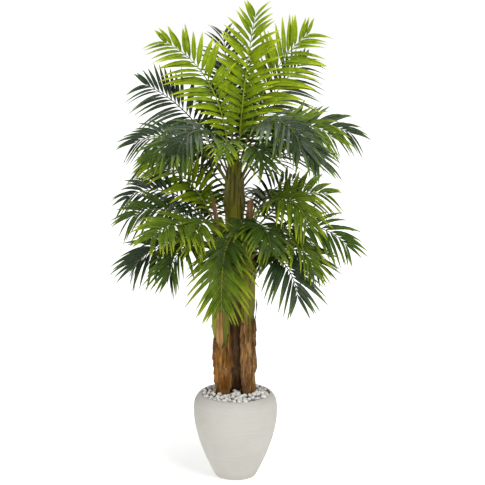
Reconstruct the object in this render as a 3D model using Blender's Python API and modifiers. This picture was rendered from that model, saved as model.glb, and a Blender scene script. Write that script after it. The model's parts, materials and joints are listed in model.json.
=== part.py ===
"""A potted palm: two tiers of fronds on three bark-wrapped stems, in a round tapered pot of pebbles."""

import math

import bpy
from mathutils import Matrix, Vector
from mathutils.bvhtree import BVHTree

# Driving dimensions, in metres. The pot stands on z = 0 and the front faces -Y.
PLAY = 0.0004
FACETS = 36
POT_HEIGHT = 0.305
POT_OUTSIDE = (
    (0.1255, 0.3050),
    (0.1330, 0.2990),
    (0.1432, 0.2840),
    (0.1475, 0.2660),
    (0.1484, 0.2440),
    (0.1466, 0.2100),
    (0.1415, 0.1790),
    (0.1330, 0.1450),
    (0.1220, 0.1120),
    (0.1080, 0.0760),
    (0.0925, 0.0420),
    (0.0775, 0.0120),
    (0.0725, 0.0035),
    (0.0665, 0.0),
)
POT_INSIDE = (
    (0.0600, 0.0140),
    (0.0820, 0.0420),
    (0.0985, 0.0760),
    (0.1230, 0.1450),
    (0.1370, 0.2100),
    (0.1392, 0.2440),
    (0.1365, 0.2660),
    (0.1240, 0.2960),
    (0.1215, 0.3045),
)
SOIL_TOP = 0.262
PEBBLE_TOP = 0.292
PEBBLE_SIZE = 0.0125
ROOT_DEPTH = 0.130

# Each stem: its foot and where its axis has leaned to by 0.6 m up, rings of (radius, height) for the bark and
# for the green shaft, the height of the bark's torn edge, how ragged that is, and the socket's floor.
STEMS = {
    "left": {
        "foot": (-0.0440, -0.0080),
        "lean": (-0.0520, -0.0080),
        "bark": ((0.0262, 0.13), (0.0262, 0.31), (0.0275, 0.36), (0.0285, 0.43), (0.0290, 0.47)),
        "edge": 0.485,
        "rag": 0.016,
        "socket": 0.400,
        "shaft": (
            (0.0225, 0.4004),
            (0.0235, 0.50),
            (0.0300, 0.545),
            (0.0290, 0.62),
            (0.0260, 0.74),
            (0.0215, 0.83),
            (0.0150, 0.905),
            (0.0080, 0.935),
        ),
    },
    "middle": {
        "foot": (0.0040, 0.0400),
        "lean": (-0.0030, 0.0340),
        "bark": ((0.0240, 0.13), (0.0240, 0.31), (0.0235, 0.42), (0.0245, 0.56), (0.0240, 0.70)),
        "edge": 0.735,
        "rag": 0.020,
        "socket": 0.640,
        "shaft": (
            (0.0190, 0.6404),
            (0.0200, 0.765),
            (0.0255, 0.83),
            (0.0330, 0.93),
            (0.0300, 1.00),
            (0.0225, 1.08),
            (0.0170, 1.13),
            (0.0090, 1.165),
        ),
    },
    "right": {
        "foot": (0.0460, -0.0080),
        "lean": (0.0450, -0.0080),
        "bark": ((0.0226, 0.13), (0.0226, 0.31), (0.0230, 0.40), (0.0225, 0.50), (0.0230, 0.545)),
        "edge": 0.560,
        "rag": 0.014,
        "socket": 0.470,
        "shaft": (
            (0.0180, 0.4704),
            (0.0190, 0.575),
            (0.0240, 0.62),
            (0.0250, 0.72),
            (0.0225, 0.82),
            (0.0165, 0.90),
            (0.0080, 0.945),
        ),
    },
}
STEM_SIDES = 14

# Fronds. Angles are in degrees: heading 0 is +X and 90 is +Y, rise is the slope at the foot, and droop is how
# far the midrib bends down along its length. Sweep turns the heading, roll turns the blade about the midrib.
# name, stem, foot height, heading, rise, length, droop, sweep, roll, leaflet length, leaflet pairs, tone
FRONDS = (
    ("upper_02", "middle", 1.130, 104, 78, 0.45, 16, 0, 0, 0.150, 10, "dark"),
    ("upper_01", "middle", 1.130, 146, 84, 0.49, 60, 24, -52, 0.150, 12, "lime"),
    ("upper_03", "middle", 1.135, 54, 83, 0.50, 12, 0, 20, 0.150, 11, "lime"),
    ("upper_04", "middle", 1.115, 28, 76, 0.53, 42, 0, 56, 0.165, 13, "lime"),
    ("upper_09", "middle", 1.085, 166, 62, 0.43, 40, 0, -62, 0.145, 12, "dark"),
    ("upper_10", "middle", 1.060, 189, 58, 0.38, 86, 0, -40, 0.140, 10, "dark"),
    ("upper_06", "middle", 1.060, -6, 58, 0.45, 84, 0, 42, 0.150, 12, "dark"),
    ("upper_07", "middle", 1.105, -46, 76, 0.43, 155, 0, 12, 0.150, 11, "dark"),
    ("upper_11", "middle", 1.105, 226, 74, 0.36, 155, 0, -12, 0.140, 10, "dark"),
    ("upper_12", "middle", 1.085, 262, 70, 0.28, 112, 0, 0, 0.100, 8, "olive"),
    ("upper_17", "middle", 1.075, 292, 66, 0.30, 122, 0, 0, 0.120, 8, "deep"),
    ("upper_08", "middle", 1.080, -18, 66, 0.41, 106, 0, 34, 0.140, 10, "olive"),
    ("upper_05", "middle", 1.090, 42, 64, 0.50, 34, 0, 46, 0.155, 12, "dark"),
    ("upper_13", "middle", 1.085, 78, 62, 0.47, 74, 0, 0, 0.145, 10, "deep"),
    ("upper_14", "middle", 1.060, 118, 56, 0.46, 84, 0, 0, 0.145, 10, "olive"),
    ("upper_15", "middle", 1.030, 34, 44, 0.41, 84, 0, 26, 0.140, 10, "deep"),
    ("upper_16", "middle", 1.030, 148, 40, 0.40, 80, 0, -26, 0.140, 10, "deep"),
    ("lower_01", "left", 0.905, 161, 68, 0.35, 70, 0, -56, 0.125, 10, "lime"),
    ("lower_02", "left", 0.880, 178, 60, 0.36, 92, 0, -42, 0.140, 10, "dark"),
    ("lower_03", "left", 0.855, 200, 50, 0.34, 78, 0, -34, 0.140, 10, "deep"),
    ("lower_04", "left", 0.853, 231, 36, 0.34, 62, 0, -20, 0.140, 10, "olive"),
    ("lower_05", "left", 0.825, 203, 22, 0.31, 72, 0, -30, 0.140, 10, "dark"),
    ("lower_06", "left", 0.810, 276, 22, 0.34, 112, -12, 0, 0.145, 11, "olive"),
    ("lower_10", "right", 0.905, -45, 62, 0.33, 132, 0, 22, 0.130, 10, "olive"),
    ("lower_09", "right", 0.890, 12, 50, 0.30, 62, 0, 48, 0.130, 10, "olive"),
    ("lower_08", "right", 0.855, -15, 32, 0.35, 80, 0, 36, 0.135, 10, "deep"),
    ("lower_07", "right", 0.810, -58, 18, 0.33, 92, 0, 10, 0.140, 10, "dark"),
    ("lower_13", "right", 0.825, -25, 16, 0.25, 60, 0, 24, 0.130, 8, "dark"),
    ("lower_12", "middle", 0.900, 280, 42, 0.19, 120, 0, 0, 0.090, 8, "deep"),
    ("lower_21", "left", 0.878, 250, 46, 0.26, 108, 0, 0, 0.115, 8, "olive"),
    ("lower_22", "right", 0.862, 288, 48, 0.26, 116, 0, 0, 0.115, 8, "deep"),
    ("lower_11", "right", 0.915, 45, 54, 0.29, 66, 0, 36, 0.130, 8, "dark"),
    ("lower_20", "left", 0.890, 120, 74, 0.29, 62, 0, 0, 0.120, 8, "olive"),
    ("lower_14", "right", 0.875, 78, 48, 0.37, 84, 0, 0, 0.135, 10, "deep"),
    ("lower_15", "middle", 0.870, 105, 44, 0.38, 78, 0, 0, 0.135, 10, "olive"),
    ("lower_16", "left", 0.870, 138, 44, 0.35, 82, 0, -20, 0.135, 10, "deep"),
    ("lower_17", "right", 0.835, 48, 24, 0.32, 78, 0, 20, 0.130, 8, "deep"),
    ("lower_18", "left", 0.830, 162, 18, 0.30, 74, 0, -24, 0.130, 8, "dark"),
    ("lower_19", "middle", 0.835, 86, 24, 0.33, 84, 0, 0, 0.130, 8, "olive"),
    ("upper_18", "middle", 1.065, 322, 60, 0.40, 112, 0, 20, 0.145, 10, "dark"),
    ("upper_19", "middle", 1.060, 212, 60, 0.36, 104, 0, -22, 0.140, 10, "deep"),
    ("upper_20", "middle", 1.105, 96, 72, 0.42, 34, 0, 0, 0.150, 11, "deep"),
    ("lower_23", "right", 0.855, 250, 34, 0.27, 112, 0, 0, 0.125, 9, "deep"),
    ("lower_24", "left", 0.860, 312, 40, 0.25, 118, 0, 0, 0.120, 8, "olive"),
    ("lower_25", "left", 0.835, 232, 26, 0.29, 100, 0, 0, 0.130, 9, "deep"),
    ("lower_26", "right", 0.835, 318, 30, 0.30, 96, 0, 0, 0.130, 9, "olive"),
)
BARE_SHARE = 0.20
STALK_WIDTH = 0.0046
STALK_THICK = 0.0062
BLADE_WIDTH = 0.0090
BLADE_THICK = 0.0011
BLADE_PITCH = 16
BLADE_LIFT = 12
CLEARANCE = 0.0007

BARK_COLORS = {
    "left": (0.36, 0.19, 0.07, 1.0),
    "middle": (0.14, 0.10, 0.07, 1.0),
    "right": (0.30, 0.18, 0.09, 1.0),
}
TONES = {
    "lime": (0.27, 0.42, 0.03, 1.0),
    "olive": (0.13, 0.22, 0.04, 1.0),
    "deep": (0.05, 0.14, 0.04, 1.0),
    "dark": (0.04, 0.09, 0.05, 1.0),
}


def clearScene():
    for old in list(bpy.data.objects):
        bpy.data.objects.remove(old, do_unlink=True)


def addCollection(name):
    group = bpy.data.collections.new(name)
    bpy.context.scene.collection.children.link(group)
    return group


def giveMaterial(obj, color, roughness=0.6):
    material = bpy.data.materials.new(obj.name)
    material.use_nodes = True
    shader = material.node_tree.nodes["Principled BSDF"]
    shader.inputs["Base Color"].default_value = color
    shader.inputs["Roughness"].default_value = roughness
    obj.data.materials.clear()
    obj.data.materials.append(material)


def addMesh(name, points, faces, group):
    mesh = bpy.data.meshes.new(name)
    mesh.from_pydata([tuple(p) for p in points], [], faces)
    mesh.validate()
    mesh.update()
    obj = bpy.data.objects.new(name, mesh)
    group.objects.link(obj)
    return obj


def addLathe(name, profile, group):
    """A profile of (radius, height) points turned about the Z axis."""
    points = [(radius, 0.0, height) for radius, height in profile]
    mesh = bpy.data.meshes.new(name)
    mesh.from_pydata(points, [(i, i + 1) for i in range(len(points) - 1)], [])
    obj = bpy.data.objects.new(name, mesh)
    group.objects.link(obj)
    screw = obj.modifiers.new("Turn", "SCREW")
    screw.steps = FACETS
    screw.render_steps = FACETS
    screw.use_merge_vertices = True
    screw.merge_threshold = 0.00005
    return obj


def addLoft(name, rings, group):
    """A closed body through rings with the same number of points, capped at both ends."""
    sides = len(rings[0])
    points = [point for ring in rings for point in ring]
    faces = []
    for row in range(len(rings) - 1):
        for i in range(sides):
            j = (i + 1) % sides
            low = row * sides
            faces.append((low + i, low + j, low + sides + j, low + sides + i))
    faces.append(tuple(reversed(range(sides))))
    last = (len(rings) - 1) * sides
    faces.append(tuple(range(last, last + sides)))
    return addMesh(name, points, faces, group)


def cutWith(obj, cutter, name):
    cut = obj.modifiers.new(name, "BOOLEAN")
    cut.operation = "DIFFERENCE"
    cut.solver = "EXACT"
    cut.object = cutter


def stemCenter(stem, height):
    """Where a stem's axis is at this height: it leans from its foot to its crown."""
    spec = STEMS[stem]
    share = min(1.0, max(0.0, (height - POT_HEIGHT) / 0.30))
    share = share * share * (3 - 2 * share)
    x = spec["foot"][0] + (spec["lean"][0] - spec["foot"][0]) * share
    y = spec["foot"][1] + (spec["lean"][1] - spec["foot"][1]) * share
    return Vector((x, y, height))


def ringAround(stem, radius, height, waves=0.0, phase=0.0, rises=None):
    center = stemCenter(stem, height)
    ring = []
    for i in range(STEM_SIDES):
        angle = 2 * math.pi * i / STEM_SIDES
        swell = 1 + waves * (math.sin(3 * angle + phase) + 0.6 * math.sin(5 * angle - 2 * phase))
        lift = rises[i] if rises else 0.0
        ring.append(
            (
                center.x + radius * swell * math.cos(angle),
                center.y + radius * swell * math.sin(angle),
                center.z + lift,
            )
        )
    return ring


def shaftRadius(stem, height):
    rings = STEMS[stem]["shaft"]
    for (low, start), (high, end) in zip(rings, rings[1:]):
        if start <= height <= end:
            return low + (high - low) * (height - start) / (end - start)
    return rings[-1][0]


def addPot(group):
    profile = [(0.0, POT_INSIDE[0][1])]
    profile += POT_INSIDE
    profile += POT_OUTSIDE
    profile += [(0.0, 0.0)]
    pot = addLathe("pot", profile, group)
    giveMaterial(pot, (0.72, 0.70, 0.67, 1.0), 0.75)


def insideRadius(height):
    for (low, start), (high, end) in zip(POT_INSIDE, POT_INSIDE[1:]):
        if start <= height <= end:
            return low + (high - low) * (height - start) / (end - start)
    return POT_INSIDE[-1][0]


def addSoil(group, cutters):
    profile = [(0.0, SOIL_TOP), (insideRadius(SOIL_TOP) - PLAY, SOIL_TOP)]
    for radius, height in reversed(POT_INSIDE):
        if height < SOIL_TOP:
            profile.append((radius - PLAY, height + (PLAY if height < 0.02 else 0.0)))
    profile.append((0.0, POT_INSIDE[0][1] + PLAY))
    soil = addLathe("soil", profile, group)
    for number, cutter in enumerate(cutters):
        cutWith(soil, cutter, f"Root {number}")
    giveMaterial(soil, (0.08, 0.05, 0.035, 1.0), 0.95)


def pebbleCenters():
    """Pebble places on a sunflower spiral, each nudged off it."""
    places = []
    for i in range(110):
        reach = 0.0112 * math.sqrt(i + 0.5)
        angle = i * 2.39996
        reach += 0.0018 * math.sin(7.3 * i)
        places.append((reach * math.cos(angle), reach * math.sin(angle), 0.0025 * math.sin(4.7 * i)))
    return places


def addPebbles(group, cutters):
    """The dressing of pebbles as one lumpy layer, filling the pot to its rim."""
    places = pebbleCenters()
    rows = 12
    foot = SOIL_TOP + PLAY
    edge = insideRadius(PEBBLE_TOP - 0.002) - 0.0012
    points = [(0.0, 0.0, PEBBLE_TOP + 0.006)]
    for row in range(1, rows + 1):
        radius = edge * row / rows
        for i in range(FACETS):
            angle = 2 * math.pi * i / FACETS
            x = radius * math.cos(angle)
            y = radius * math.sin(angle)
            near, lift = min((math.hypot(x - px, y - py), pz) for px, py, pz in places)
            bump = math.sqrt(max(0.0, 1 - (near / PEBBLE_SIZE) ** 2))
            dome = 0.006 * (1 - (radius / edge) ** 2)
            height = PEBBLE_TOP - 0.007 + 0.008 * bump + dome + lift * 0.5
            if row == rows:
                height = PEBBLE_TOP - 0.004
            points.append((x, y, height))
    for i in range(FACETS):
        angle = 2 * math.pi * i / FACETS
        rim = insideRadius(foot) - 0.0030
        points.append((rim * math.cos(angle), rim * math.sin(angle), foot))
    points.append((0.0, 0.0, foot))
    faces = [(0, 1 + i, 1 + (i + 1) % FACETS) for i in range(FACETS)]
    for row in range(rows):
        for i in range(FACETS):
            j = (i + 1) % FACETS
            low = 1 + row * FACETS
            faces.append((low + i, low + FACETS + i, low + FACETS + j, low + j))
    last = 1 + rows * FACETS
    for i in range(FACETS):
        faces.append((last + (i + 1) % FACETS, last + i, last + FACETS))
    layer = addMesh("pebbles", points, faces, group)
    for number, cutter in enumerate(cutters):
        cutWith(layer, cutter, f"Root {number}")
    giveMaterial(layer, (0.82, 0.81, 0.78, 1.0), 0.55)


def addRootCutter(stem, group):
    radius = STEMS[stem]["bark"][0][0] + 0.0005
    rings = [ringAround(stem, radius, height) for height in (ROOT_DEPTH - PLAY, POT_HEIGHT + 0.03)]
    cutter = addLoft(f"root_hole_{stem}", rings, group)
    cutter.hide_render = True
    cutter.display_type = "WIRE"
    return cutter


def addTrunk(stem, group):
    """A bark-wrapped stem. Its ragged top is a sleeve around the green shaft that grows out of it."""
    spec = STEMS[stem]
    rings = []
    for number, (radius, height) in enumerate(spec["bark"]):
        waves = 0.0 if height < POT_HEIGHT + 0.02 else 0.022
        rings.append(ringAround(stem, radius, height, waves, 1.3 * number))
    rag = [spec["rag"] * math.sin(5.1 * i + 0.7) for i in range(STEM_SIDES)]
    bore = spec["shaft"][0][0] + 0.0016
    lip = spec["bark"][-1][0] - 0.0008
    rings.append(ringAround(stem, lip, spec["edge"], 0.0, 0.0, rag))
    rings.append(ringAround(stem, bore + 0.0004, spec["edge"], 0.0, 0.0, [rise - 0.0012 for rise in rag]))
    rings.append(ringAround(stem, bore, spec["socket"]))
    trunk = addLoft(f"trunk_{stem}", rings, group)
    giveMaterial(trunk, BARK_COLORS[stem], 0.9)
    return trunk


def addShaft(stem, group):
    rings = []
    for number, (radius, height) in enumerate(STEMS[stem]["shaft"]):
        waves = 0.0 if number < 2 or radius < 0.012 else 0.03
        rings.append(ringAround(stem, radius, height, waves, 0.8 + 0.2 * number))
    shaft = addLoft(f"shaft_{stem}", rings, group)
    giveMaterial(shaft, (0.22, 0.27, 0.06, 1.0), 0.5)
    return shaft


def addHusk(name, stem, angle, low, high, gap, width, flare, color, group):
    """A curled strip of dry husk standing beside a stem, with a torn top."""
    columns = 5
    rows = 4
    points = []
    for row in range(rows + 1):
        share = row / rows
        height = low + (high - low) * share
        center = stemCenter(stem, height)
        reach = gap + flare * share**2
        spread = width * (0.55 + 0.75 * math.sin(math.pi * min(0.85, share + 0.12))) / 2
        for column in range(columns):
            across = 2 * column / (columns - 1) - 1
            turn = math.radians(angle) + across * spread / reach
            torn = 0.0
            if row == rows:
                torn = (0.006, -0.011, 0.010, -0.014, 0.002)[column] * (high - low) / 0.08
            points.append(center + Vector((reach * math.cos(turn), reach * math.sin(turn), torn)))
    faces = []
    for row in range(rows):
        for column in range(columns - 1):
            i = row * columns + column
            faces.append((i, i + 1, i + columns + 1, i + columns))
    husk = addMesh(name, points, faces, group)
    solid = husk.modifiers.new("Thick", "SOLIDIFY")
    solid.thickness = 0.0018
    solid.offset = 1.0
    giveMaterial(husk, color, 0.9)
    return husk


def direction(slope, turn):
    level = Vector((math.cos(turn), math.sin(turn), 0.0))
    return level * math.cos(slope) + Vector((0.0, 0.0, math.sin(slope)))


def midrib(foot, heading, rise, length, droop, sweep, roll, steps=30):
    """Points along a frond's midrib, each with its forward, upper and right-hand directions."""

    def ways(share):
        slope = math.radians(rise - droop * share**1.5)
        turn = math.radians(heading + sweep * share)
        return direction(slope, turn), direction(slope + math.pi / 2, turn)

    places = []
    point = Vector(foot)
    for step in range(steps + 1):
        share = step / steps
        ahead, upper = ways(share)
        upper = Matrix.Rotation(math.radians(roll) * min(1.0, 2 * share), 3, ahead) @ upper
        places.append((point.copy(), ahead, upper, ahead.cross(upper)))
        point += ways(share + 0.5 / steps)[0] * length / steps
    return places


def alongMidrib(places, share):
    spot = min(share, 1.0) * (len(places) - 1)
    low = min(int(spot), len(places) - 2)
    mix = spot - low
    return tuple(a.lerp(b, mix) for a, b in zip(places[low], places[low + 1]))


def leafletReach(share):
    """Leaflets are longest a little before the middle of the frond."""
    if share < 0.44:
        return 0.62 + 0.38 * math.sin(math.pi / 2 * (share + 0.18) / 0.62)
    return 1.0 - 0.50 * ((share - 0.44) / 0.56) ** 1.5


def leafletPoints(root, ahead, upper, right, side, share, length, tip_down, sag=0.20):
    """The near and far points at a leaflet's widest place, and its tip."""
    splay = math.radians(62 - 40 * share**1.4)
    lift = math.radians(BLADE_LIFT - tip_down)
    out = right * side * math.cos(lift) + upper * math.sin(lift)
    along = (ahead * math.cos(splay) + out * math.sin(splay)).normalized()
    middle = root + along * length * 0.42
    hanging = (along + Vector((0.0, 0.0, -sag))).normalized()
    tip = middle + hanging * length * 0.58
    across = (ahead - along * ahead.dot(along)).normalized()
    across = Matrix.Rotation(math.radians(-BLADE_PITCH) * side, 3, along) @ across
    return middle - across * BLADE_WIDTH, middle + across * BLADE_WIDTH, tip


def slab(corners, margin):
    """A thin closed wedge around a leaflet, for testing what it touches."""
    near_root, far_root, far, near, tip = corners
    normal = (far - near).cross(tip - near).normalized() * margin
    points = [p + normal for p in corners] + [p - normal for p in corners]
    top = [(0, 1, 2), (0, 2, 3), (3, 2, 4)]
    bottom = [(a + 5, c + 5, b + 5) for a, b, c in top]
    rim = [(0, 1), (1, 2), (2, 4), (4, 3), (3, 0)]
    walls = []
    for a, b in rim:
        walls.append((a, b + 5, b))
        walls.append((a, a + 5, b + 5))
    return points, top + bottom + walls


def tree(soup):
    return BVHTree.FromPolygons([tuple(p) for p in soup[0]], soup[1], all_triangles=True)


def addTo(soup, points, faces):
    start = len(soup[0])
    soup[0].extend(points)
    soup[1].extend([tuple(i + start for i in face) for face in faces])


def solidTriangles(obj):
    """The finished triangles of an object, with its modifiers."""
    graph = bpy.context.evaluated_depsgraph_get()
    graph.update()
    evaluated = obj.evaluated_get(graph)
    mesh = evaluated.to_mesh()
    mesh.calc_loop_triangles()
    points = [obj.matrix_world @ vertex.co for vertex in mesh.vertices]
    faces = [tuple(triangle.vertices) for triangle in mesh.loop_triangles]
    evaluated.to_mesh_clear()
    return points, faces


def stalkTube(places, margin):
    """A square tube along a midrib, for testing what the stalk touches."""
    points = []
    faces = []
    for step in range(0, len(places), 2):
        point, ahead, upper, right = places[step]
        share = step / (len(places) - 1)
        wide = STALK_WIDTH * (1 - 0.65 * share) + margin
        thick = STALK_THICK * (1 - 0.62 * share) / 2 + margin
        for a, b in ((1, 1), (-1, 1), (-1, -1), (1, -1)):
            points.append(point + right * wide * a + upper * thick * b)
    rows = len(points) // 4
    for row in range(rows - 1):
        for i in range(4):
            j = (i + 1) % 4
            a, b, c, d = row * 4 + i, row * 4 + j, row * 4 + 4 + j, row * 4 + 4 + i
            faces.extend([(a, b, c), (a, c, d)])
    last = (rows - 1) * 4
    faces.extend([(2, 1, 0), (3, 2, 0), (last, last + 1, last + 2), (last, last + 2, last + 3)])
    return points, faces


def placedMidrib(stem, low, heading, rise, length, droop, sweep, roll):
    """The midrib of a frond whose foot stands just clear of the shaft that carries it."""
    bearing = math.radians(heading)
    reach = shaftRadius(stem, low) * 1.05 + 0.0016
    reach += STALK_THICK / 2 * math.sin(math.radians(rise))
    foot = stemCenter(stem, low) + Vector((math.cos(bearing), math.sin(bearing), 0.0)) * reach
    return midrib(foot, heading, rise, length, droop, sweep, roll)


def addFrond(name, places, length, pairs, tone, taken, group):
    """One frond as a comb of leaflets on a midrib: an open surface that Solidify thickens."""
    points = []
    weights = []
    faces = []
    own = ([], [])
    addTo(own, *stalkTube(places, 0.0))
    kept = 0

    def addPoint(point, thick):
        points.append(point)
        weights.append(thick / STALK_THICK)
        return len(points) - 1

    def addStation(share):
        point, ahead, upper, right = alongMidrib(places, share)
        wide = STALK_WIDTH * (1 - 0.65 * share)
        thick = STALK_THICK * (1 - 0.62 * share)
        return addPoint(point - right * wide, thick), addPoint(point + right * wide, thick)

    span = sum((b[0] - a[0]).length for a, b in zip(places, places[1:]))
    half = 0.0034 / span
    shares = [BARE_SHARE + (1 - BARE_SHARE - half * 1.5) * (k / (pairs - 1)) ** 0.92 for k in range(pairs)]
    bare = [BARE_SHARE * step / 4 for step in range(4)]
    stations = [addStation(share) for share in bare]
    roots = []
    for share in shares:
        roots.append(len(stations))
        stations.append(addStation(share - half))
        stations.append(addStation(share + half))
    for (left_a, right_a), (left_b, right_b) in zip(stations, stations[1:]):
        faces.append((left_a, right_a, right_b, left_b))

    for number, share in enumerate(shares):
        fraction = number / (pairs - 1)
        point, ahead, upper, right = alongMidrib(places, share)
        ahead = ahead.normalized()
        upper = upper.normalized()
        right = right.normalized()
        left_a, right_a = stations[roots[number]]
        left_b, right_b = stations[roots[number] + 1]
        for side, near_root, far_root in ((-1, left_a, left_b), (1, right_a, right_b)):
            root = (points[near_root] + points[far_root]) / 2
            full = length * leafletReach(fraction) * (1 + 0.07 * math.sin(9.7 * number + 3.1 * side))
            for tip_down, cut in (
                (0, 1.0),
                (9, 1.0),
                (-9, 1.0),
                (18, 0.95),
                (-18, 0.95),
                (0, 0.8),
                (28, 0.85),
                (-28, 0.85),
                (10, 0.65),
                (-10, 0.65),
                (0, 0.5),
                (20, 0.45),
                (-20, 0.45),
                (0, 0.32),
            ):
                reach = full * cut
                near, far, tip = leafletPoints(root, ahead, upper, right, side, fraction, reach, tip_down)
                a = points[near_root].lerp(near, 0.30)
                b = points[far_root].lerp(far, 0.30)
                thin = slab((a, b, far, near, tip), BLADE_THICK / 2 + 0.0003)
                corners = (points[near_root], points[far_root], far, near, tip)
                wide = slab(corners, STALK_THICK / 4 + CLEARANCE)
                if tree(wide).overlap(taken) or tree(thin).overlap(tree(own)):
                    continue
                i = addPoint(near, BLADE_THICK)
                j = addPoint(far, BLADE_THICK)
                k = addPoint(tip, BLADE_THICK * 0.8)
                if side > 0:
                    faces.append((far_root, near_root, i, j))
                    faces.append((j, i, k))
                else:
                    faces.append((near_root, far_root, j, i))
                    faces.append((i, j, k))
                addTo(own, *thin)
                kept += 1
                break

    frond = addMesh(f"frond_{name}", points, faces, group)
    thickness = frond.vertex_groups.new(name="thickness")
    for index, weight in enumerate(weights):
        thickness.add([index], weight, "REPLACE")
    solid = frond.modifiers.new("Thick", "SOLIDIFY")
    solid.thickness = STALK_THICK
    solid.offset = 0.0
    solid.vertex_group = "thickness"
    giveMaterial(frond, TONES[tone], 0.45)
    return frond, kept


def main():
    clearScene()
    parts = addCollection("potted_palm")
    cutters = addCollection("cutters")
    cutters.hide_render = True
    holes = [addRootCutter(stem, cutters) for stem in STEMS]
    addPot(parts)
    addSoil(parts, holes)
    addPebbles(parts, holes)

    placed = ([], [])
    for stem in STEMS:
        addTo(placed, *solidTriangles(addTrunk(stem, parts)))
        addTo(placed, *solidTriangles(addShaft(stem, parts)))
    brown = (0.33, 0.20, 0.10, 1.0)
    purple = (0.13, 0.08, 0.06, 1.0)
    husks = (
        ("husk_left_tongue", "left", 262, 0.505, 0.610, 0.0338, 0.018, -0.001, (0.45, 0.27, 0.11, 1.0)),
        ("husk_left_stub", "left", 205, 0.915, 0.995, 0.0225, 0.022, 0.004, brown),
        ("husk_right_stub", "right", 300, 0.935, 1.000, 0.0130, 0.018, 0.002, brown),
        ("husk_right_thorn", "right", 350, 0.580, 0.640, 0.0275, 0.008, 0.004, purple),
        ("husk_middle_collar", "middle", 262, 0.770, 0.850, 0.0330, 0.030, 0.003, purple),
    )
    for name, stem, angle, low, high, gap, width, flare, color in husks:
        husk = addHusk(name, stem, angle, low, high, gap, width, flare, color, parts)
        addTo(placed, *solidTriangles(husk))

    for name, stem, low, heading, rise, length, droop, sweep, roll, leaf, pairs, tone in FRONDS:
        places = placedMidrib(stem, low, heading, rise, length, droop, sweep, roll)
        frond, kept = addFrond(name, places, leaf, pairs, tone, tree(placed), parts)
        print(f"frond_{name}: {kept} of {2 * pairs} leaflets")
        addTo(placed, *solidTriangles(frond))


main()
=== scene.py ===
import json
import math

import bmesh
import bpy
from mathutils import Matrix, Vector, noise

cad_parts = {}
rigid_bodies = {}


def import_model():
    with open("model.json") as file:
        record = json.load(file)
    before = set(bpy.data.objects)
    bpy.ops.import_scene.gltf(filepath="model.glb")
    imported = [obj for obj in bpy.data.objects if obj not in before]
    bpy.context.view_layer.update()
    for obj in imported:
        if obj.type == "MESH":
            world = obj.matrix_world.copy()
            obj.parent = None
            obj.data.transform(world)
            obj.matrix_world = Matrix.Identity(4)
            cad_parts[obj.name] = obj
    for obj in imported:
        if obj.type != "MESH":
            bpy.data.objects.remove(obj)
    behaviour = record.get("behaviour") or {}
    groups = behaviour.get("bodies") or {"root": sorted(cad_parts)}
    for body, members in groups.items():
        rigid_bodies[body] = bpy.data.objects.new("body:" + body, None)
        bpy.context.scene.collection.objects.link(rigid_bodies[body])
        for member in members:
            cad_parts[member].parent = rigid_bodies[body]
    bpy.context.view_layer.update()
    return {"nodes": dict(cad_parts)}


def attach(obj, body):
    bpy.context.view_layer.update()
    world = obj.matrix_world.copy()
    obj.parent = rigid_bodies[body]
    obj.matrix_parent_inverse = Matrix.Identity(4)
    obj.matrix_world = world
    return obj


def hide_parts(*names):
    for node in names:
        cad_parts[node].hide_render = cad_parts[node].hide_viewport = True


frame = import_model()
print("frame loaded")

# The stems as the part has them: the foot, where the axis has leaned to above the bark, and rings of
# (radius, height).
stems = {
    "left": {
        "foot": (-0.044, -0.008), "lean": (-0.052, -0.008),
        "bark": (
            (0.0262, 0.255), (0.0262, 0.31), (0.0275, 0.36), (0.0285, 0.43), (0.029, 0.47),
            (0.0282, 0.51),
        ),
        "edge": 0.485, "rag": 0.016,
        "shaft": (
            (0.0225, 0.4004), (0.0235, 0.5), (0.03, 0.545), (0.029, 0.62), (0.026, 0.74),
            (0.0215, 0.83), (0.015, 0.905), (0.008, 0.935),
        ),
    },
    "middle": {
        "foot": (0.004, 0.04), "lean": (-0.003, 0.034),
        "bark": (
            (0.024, 0.255), (0.024, 0.31), (0.0235, 0.42), (0.0245, 0.56), (0.024, 0.7), (0.0232, 0.76),
        ),
        "edge": 0.735, "rag": 0.02,
        "shaft": (
            (0.019, 0.6404), (0.02, 0.765), (0.0255, 0.83), (0.033, 0.93), (0.03, 1.0), (0.0225, 1.08),
            (0.017, 1.13), (0.009, 1.165),
        ),
    },
    "right": {
        "foot": (0.046, -0.008), "lean": (0.045, -0.008),
        "bark": (
            (0.0226, 0.255), (0.0226, 0.31), (0.023, 0.4), (0.0225, 0.5), (0.023, 0.545),
            (0.0222, 0.58),
        ),
        "edge": 0.56, "rag": 0.014,
        "shaft": (
            (0.018, 0.4704), (0.019, 0.575), (0.024, 0.62), (0.025, 0.72), (0.0225, 0.82),
            (0.0165, 0.9), (0.008, 0.945),
        ),
    },
}

# The stems lean between these two heights.
leanFrom = 0.305
leanSpan = 0.30

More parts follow.
